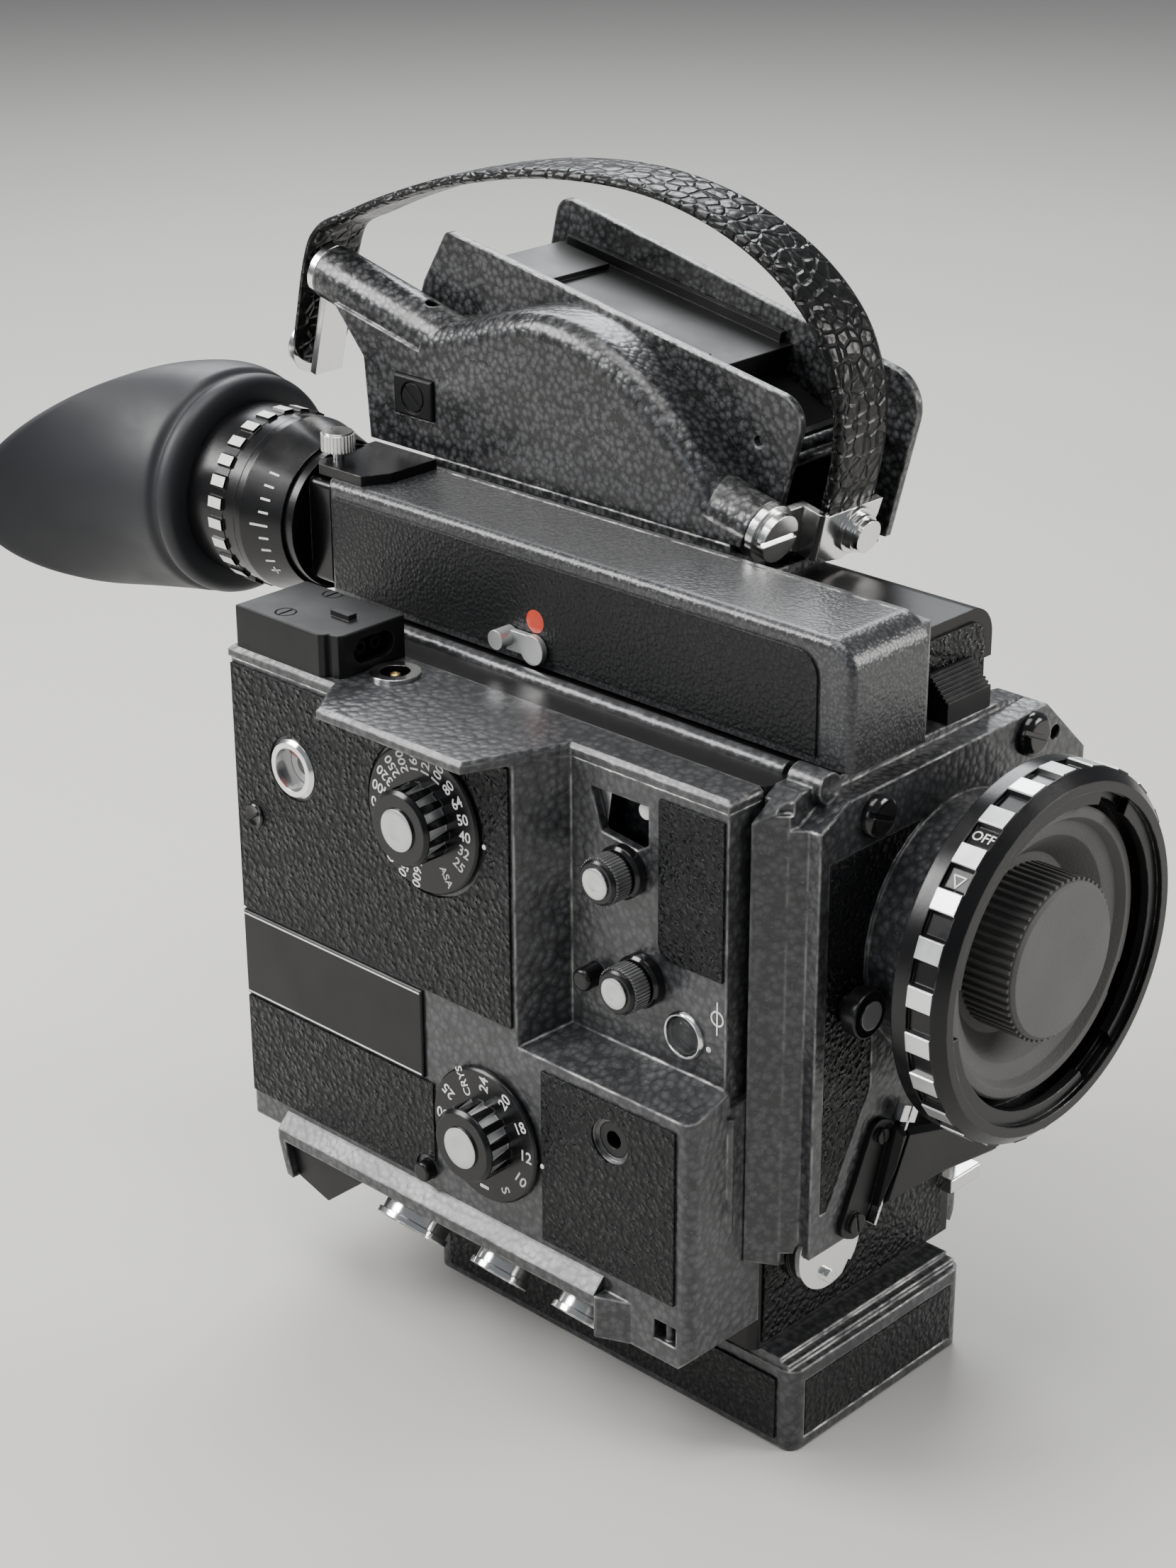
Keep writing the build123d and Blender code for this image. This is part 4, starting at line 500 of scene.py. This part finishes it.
# bright flutes on the castellated knobs
for dial_name, centre in (("asa_dial", asa), ("fps_dial", fps)):
    face = high(dial_name, 0) - SHAFT

    def flute(c, n, centre=centre, face=face):
        radius = math.hypot(c.y - centre.y, c.z - centre.z)
        return face - 9.1 < c.x < face - 1.9 and 9.0 < radius < 10.3 and abs(n.x) < 0.2

    repaint(dial_name, SILVER, flute)

# ---- lens bayonet ring: bright raised facets, index marks --------------------------------------
ring = middle("bayonet_ring")
ring_front = low("bayonet_ring", 1)


def facet(c, n):
    radius = math.hypot(c.x - ring.x, c.z - ring.z)
    return radius > 51.3 and ring_front + 3.1 < c.y < ring_front + 10.5 and abs(n.y) < 0.2


repaint("bayonet_ring", SILVER, facet)


def on_ring(turn, y):
    """Point on the ring's barrel and the way out from it."""
    t = math.radians(turn)
    out = Vector((math.cos(t), 0, math.sin(t)))
    return Vector((ring.x, y, ring.z)) + out * 50.45, out


forwards = Vector((0, -1, 0))
spot, out = on_ring(123.2, ring_front + 7.0)
lettering("ring_off", "OFF", 3.9, spot, forwards, out.cross(forwards), "bayonet_ring")
spot, out = on_ring(137.6, ring_front + 6.8)
tangent = out.cross(forwards)
corners = []
for k in range(4):
    t = math.radians(270 + 120 * k)
    corners.append(spot + (forwards * math.cos(t) + tangent * math.sin(t)) * 2.1)
for k in range(3):
    run = corners[k + 1] - corners[k]
    bar = [(-0.2, -0.22), (run.length + 0.2, -0.22), (run.length + 0.2, 0.22), (-0.2, 0.22)]
    slab("ring_arrow_%d" % k, bar, corners[k] - out * 0.1, run, out.cross(run), 0.2, WHITE,
         "bayonet_ring")

# ---- name plate, index dots, symbols ------------------------------------------------------------
plate_lo, plate_hi = [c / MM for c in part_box("name_plate")]
width = plate_hi.y - plate_lo.y
for label, z in (("low", plate_lo.z + 0.9), ("high", plate_hi.z - 0.9)):
    slab("plate_rule_" + label, rounded(0.5, -0.22, width - 0.5, 0.22, 0.2), (plate_lo.x, plate_hi.y, z),
         LEFT, UP, PRINT, WHITE, "camera_body")


def stud(name, spot, radius, height, material, body):
    """Small domed disc on a face that looks to -X."""
    profile = [(-0.2, 0), (-0.2, radius), (height * 0.5, radius), (height, radius * 0.75), (height * 1.1, 0)]
    lathe(name, profile, spot, OUT, material, body, steps=32)


stud("asa_index", (HOUSE_X, asa.y - 22.5, asa.z - 1.2), 0.85, 0.9, WHITE, "camera_body")
stud("fps_index", (HOUSE_X, fps.y - 21.3, fps.z - 1.5), 0.85, 0.9, WHITE, "camera_body")
stud("red_index", (-23.2, 39.4, 211.6), 3.3, 0.2, RED, "camera_body")
stud("lamp_index", (RECESS_X, -51.3, 125.4), 0.8, 0.25, WHITE, "camera_body")
lathe("skin_screw", [(-0.2, 0), (-0.2, 3.7), (0.5, 3.7), (0.9, 3.2), (0.7, 2.5), (0.3, 1.5), (0.25, 0)],
      (SKIN_X, 108.0, 147.4), OUT, GLOSS, "camera_body", steps=40)
slab("skin_screw_slot", rounded(-2.2, -0.3, 2.2, 0.3, 0.2), (SKIN_X - 0.6, 108.0, 147.4),
     (0, -0.8, 0.6), (0, 0.6, 0.8), 0.3, BLACK, "camera_body")
lathe("lamp_bezel", [(-0.1, 5.4), (-0.1, 6.7), (0.6, 6.7), (1.2, 6.35), (1.4, 5.95), (1.2, 5.6), (0.3, 5.4)],
      (RECESS_X, -43.0, 126.6), OUT, CHROME, "camera_body", closed=True)
lathe("film_plane_ring", [(-0.1, 1.75), (-0.1, 2.25), (0.12, 2.25), (0.12, 1.75)],
      (RECESS_X, -54.1, 135.4), OUT, WHITE, "camera_body", closed=True, steps=40)
slab("film_plane_bar", rounded(-0.24, -4.8, 0.24, 4.8, 0.2), (RECESS_X + 0.05, -54.1, 135.4), LEFT, UP,
     0.2, WHITE, "camera_body")


def sector(r0, r1, start, end, steps=24):
    """Outline of part of a ring between two angles."""
    turns = [math.radians(start + (end - start) * i / steps) for i in range(steps + 1)]
    return ([(r1 * math.cos(t), r1 * math.sin(t)) for t in turns]
            + [(r0 * math.cos(t), r0 * math.sin(t)) for t in reversed(turns)])


meter = middle("meter_bezel")
for label, start, end, material, slot in (("red", 12, 168, RED, "red"),
                                          ("white", 168, 372, WHITE, "aluminium")):
    slab("meter_scale_" + label, sector(1.3, 6.1, start, end), (HOUSE_X + 4.6, meter.y, meter.z), LEFT, UP,
         0.3, material, "camera_body")
slab("meter_mask", sector(1.3, 3.4, 160, 380), (HOUSE_X + 4.3, meter.y, meter.z), LEFT, UP, 0.3, BLACK,
     "camera_body")

# things seen through the window above the upper knob
WINDOW_BACK = RECESS_X + 3.6
slab("window_bracket", [(9.2, 176.5), (12.6, 176.5), (14.6, 188.6), (9.0, 188.6)], (WINDOW_BACK, 0, 0),
     LEFT, UP, 0.5, STEEL, "camera_body")
lathe("window_pad", [(0, 0), (0, 2.3), (0.5, 2.3), (0.7, 2.0), (0.7, 0)], (WINDOW_BACK, -26.0, 184.0),
      OUT, WHITE, "camera_body", steps=40)

# index ticks up the scale ring's cone, the middle one longer
cone = math.atan2(3.9, 14.0)
for k in range(9):
    a = math.radians(-35 + 9.3 * k)
    radial = Vector((-math.cos(a), 0, math.sin(a)))
    rise = radial * math.sin(cone) + Vector((0, math.cos(cone), 0))
    facing = radial * math.cos(cone) - Vector((0, math.sin(cone), 0))
    spot = Vector((EYE_X, 142.6, EYE_Z)) + radial * 24.18 - facing * 0.08
    tick = rounded(-1.7, -0.32, 4.5 if k == 4 else 1.7, 0.32, 0.2)
    slab("scale_tick_%d" % k, tick, spot, rise, facing.cross(rise), 0.22, WHITE, "camera_body")
    if k == 0:
        slab("scale_plus", rounded(-0.32, -1.5, 0.32, 1.5, 0.2), spot, rise, facing.cross(rise), 0.22, WHITE,
             "camera_body")

# ---- carrying strap ---------------------------------------------------------------------------
TILT = math.radians(13.6)  # slope of the magazine saddle
SADDLE = Vector((0, -3.3, 236.6))  # origin of its tilted frame, on the strap's pivot line
U = Vector((0, math.cos(TILT), math.sin(TILT)))
V = Vector((0, -math.sin(TILT), math.cos(TILT)))
HALF_STRAP = 11.0
STRAP_ROUTE = [(48.8, -5.8, -8.6), (48.8, -5.8, 6.0), (48.5, -5.2, 22.0), (47.6, -1.2, 38.0),
               (46.0, 9.0, 53.0), (44.0, 27.0, 63.5), (41.0, 50.0, 68.6), (38.0, 76.0, 67.5),
               (35.0, 105.0, 59.5), (32.0, 133.0, 46.5), (29.8, 155.0, 32.5), (28.2, 170.0, 21.0),
               (27.0, 180.0, 12.5), (26.5, 182.5, 2.0), (26.5, 182.5, -18.0), (26.5, 182.5, -34.2)]


def smooth_line(points, per_run):
    """Points along a Catmull-Rom curve through the given ones."""
    out = []
    for i in range(len(points) - 1):
        p0 = points[max(i - 1, 0)]
        p1 = points[i]
        p2 = points[i + 1]
        p3 = points[min(i + 2, len(points) - 1)]
        for k in range(per_run):
            t = k / per_run
            out.append(0.5 * ((2 * p1) + (p2 - p0) * t + (2 * p0 - 5 * p1 + 4 * p2 - p3) * t * t
                              + (3 * p1 - p0 - 3 * p2 + p3) * t ** 3))
    out.append(points[-1])
    return out


def strap():
    """Crowned strap with thinned edges, a tapered front end and a round rear end."""
    route = [SADDLE + Vector((x, 0, 0)) + U * u + V * v for x, u, v in STRAP_ROUTE]
    line = smooth_line(route, 9)
    lengths = [0.0]
    for p, q in zip(line, line[1:]):
        lengths.append(lengths[-1] + (q - p).length)
    across_steps = 14
    verts = []
    faces = []
    rings = []
    for i, p in enumerate(line):
        a = line[max(i - 1, 0)]
        b = line[min(i + 1, len(line) - 1)]
        run = (b - a).normalized()
        across = (Vector((1, 0, 0)) - run * run.x).normalized()
        up = across.cross(run)
        front = lengths[i]
        rear = lengths[-1] - lengths[i]
        width = HALF_STRAP - 3.0 * max(0.0, 1 - front / 3.0) ** 2
        if rear < HALF_STRAP:
            width = math.sqrt(max(HALF_STRAP ** 2 - (HALF_STRAP - rear) ** 2, 2.0))
        row = []
        for k in range(across_steps * 2):
            top = k < across_steps
            f = k / (across_steps - 1) if top else 1 - (k - across_steps) / (across_steps - 1)
            s = -1 + 2 * f
            rim = max(0.0, (abs(s) - 0.86) / 0.14)
            thick = 1.45 * (1 - 0.62 * rim ** 2) + 0.35 * (1 - s * s) * (1 if top else -0.4)
            row.append(len(verts))
            verts.append(p + across * (width * s) + up * (thick if top else -thick))
        rings.append(row)
    count = across_steps * 2
    for row, after in zip(rings, rings[1:]):
        for k in range(count):
            j = (k + 1) % count
            faces.append((row[k], row[j], after[j], after[k]))
    faces.append(tuple(rings[0])[::-1])
    faces.append(tuple(rings[-1]))
    piece = make("carrying_strap", verts, faces, STRAP_LEATHER, "strap", sharp=60)
    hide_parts("carry_strap")


strap()


# ---- rubber eyecup ----------------------------------------------------------------------------
CUP_Y = 174.6  # seat of the cup on the diopter ring


def eyecup():
    """Rolled collar, a crease, then a bell drawn out into a wing for the temple on the -X side."""
    steps = 120
    verts = []
    faces = []
    rings = []

    def wing(t):
        """How far the rim is drawn out: 1 at -X, 0 at +X."""
        return ((1 + math.cos(t)) / 2) ** 2.2

    def turned(y, r):
        """Round row at y behind the cup's seat."""
        return [(EYE_X - r * math.cos(TAU * i / steps), CUP_Y + y, EYE_Z + r * math.sin(TAU * i / steps))
                for i in range(steps)]

    def bell(v, inset, back=0.0):
        """Row of the bell, from the crease at v = 0 to the rim at v = 1."""
        row = []
        for i in range(steps):
            t = TAU * i / steps
            w = wing(t)
            r = 35.0 - inset * (1 + 0.5 * w) + 0.7 * math.sin(3.1 * v)
            row.append((EYE_X - r * math.cos(t) - 30.0 * w * v * v, CUP_Y + 10 + (10 + 36 * w) * v - back,
                        EYE_Z - 2 * v * w + r * math.sin(t)))
        return row

    def add(row):
        rings.append(list(range(len(verts), len(verts) + steps)))
        verts.extend(row)

    for y, r in ((0.0, 24.0), (0.0, 30.0), (0.7, 32.2), (2.4, 33.7), (4.6, 34.1), (6.2, 33.3), (7.1, 32.6),
                 (8.0, 33.3), (9.0, 34.5)):
        add(turned(y, r))
    for k in range(15):
        add(bell(k / 14, 0.0))
    add(bell(1.0, 1.5, -0.9))
    for k in range(14, -1, -1):
        add(bell(k / 14, 3.1))
    for y, r in ((9.0, 29.5), (8.3, 23.0), (7.4, 21.5), (0.6, 21.5), (0.0, 22.3)):
        add(turned(y, r))
    for a, b in zip(rings, rings[1:] + rings[:1]):
        for i in range(steps):
            j = (i + 1) % steps
            faces.append((a[i], a[j], b[j], b[i]))
    piece = make("rubber_eyecup", verts, faces, RUBBER, "eyecup", sharp=75)
    mod = piece.modifiers.new("smooth", "SUBSURF")
    mod.levels = 1
    mod.render_levels = 1
    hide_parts("eyecup")


eyecup()

# ---- floor, light and camera --------------------------------------------------------------------
scene = bpy.context.scene
floor_graph = Graph("floor", (0.55, 0.54, 0.52), 0.8)
floor_graph.set("Roughness", floor_graph.ramp(floor_graph.noise(4.0, 3.0), (0.3, 0.55), (0.8, 0.7)))
floor_mesh = bpy.data.meshes.new("floor")
floor_corners = [(x, y, -0.0005) for x, y in ((-9, -9), (9, -9), (9, 9), (-9, 9))]
floor_mesh.from_pydata(floor_corners, [], [(0, 1, 2, 3)])
floor_mesh.materials.append(floor_graph.mat)
floor = bpy.data.objects.new("floor", floor_mesh)
scene.collection.objects.link(floor)

world = bpy.data.worlds.new("studio")
scene.world = world
world.use_nodes = True
background = world.node_tree.nodes["Background"]
background.inputs["Color"].default_value = (0.86, 0.9, 0.95, 1)
background.inputs["Strength"].default_value = 0.24


def softbox(name, place, aim, size, power, colour):
    """Rectangular lamp; places and sizes in metres."""
    lamp = bpy.data.lights.new(name, "AREA")
    lamp.shape = "RECTANGLE"
    lamp.size, lamp.size_y = size
    lamp.energy = power
    lamp.color = colour
    made = bpy.data.objects.new(name, lamp)
    scene.collection.objects.link(made)
    made.location = place
    made.rotation_euler = (Vector(aim) - Vector(place)).to_track_quat("-Z", "Y").to_euler()


softbox("key", (-0.75, 0.85, 0.95), (0, 0.03, 0.15), (0.6, 0.6), 24, (1, 0.99, 0.97))
softbox("top", (-0.25, 0.0, 1.5), (0, 0.03, 0.15), (0.9, 0.9), 16, (1, 0.985, 0.96))
softbox("back", (0.9, 1.0, 1.3), (0, 0.03, 0.2), (1.0, 0.8), 28, (0.96, 0.98, 1))
softbox("front", (1.0, -1.25, 0.75), (0, 0, 0.15), (0.7, 0.7), 22, (1, 0.98, 0.95))
softbox("side", (-1.6, -0.1, 0.7), (0, 0, 0.12), (0.6, 0.6), 3.5, (0.9, 0.95, 1))

LOOK = Vector((0.65960852, 0.63276286, -0.40562023))
RIGHT = Vector((0.69079424, -0.7230369, -0.0045785))
CAMERA_AT = Vector((-0.5623, -0.4973, 0.5007))
camera_data = bpy.data.cameras.new("camera")
camera_data.lens = 68.6
camera_data.sensor_width = 36.0
camera = bpy.data.objects.new("camera", camera_data)
scene.collection.objects.link(camera)
turn = Matrix((RIGHT, RIGHT.cross(LOOK), -LOOK)).transposed().to_4x4()
camera.matrix_world = Matrix.Translation(CAMERA_AT) @ turn
scene.camera = camera
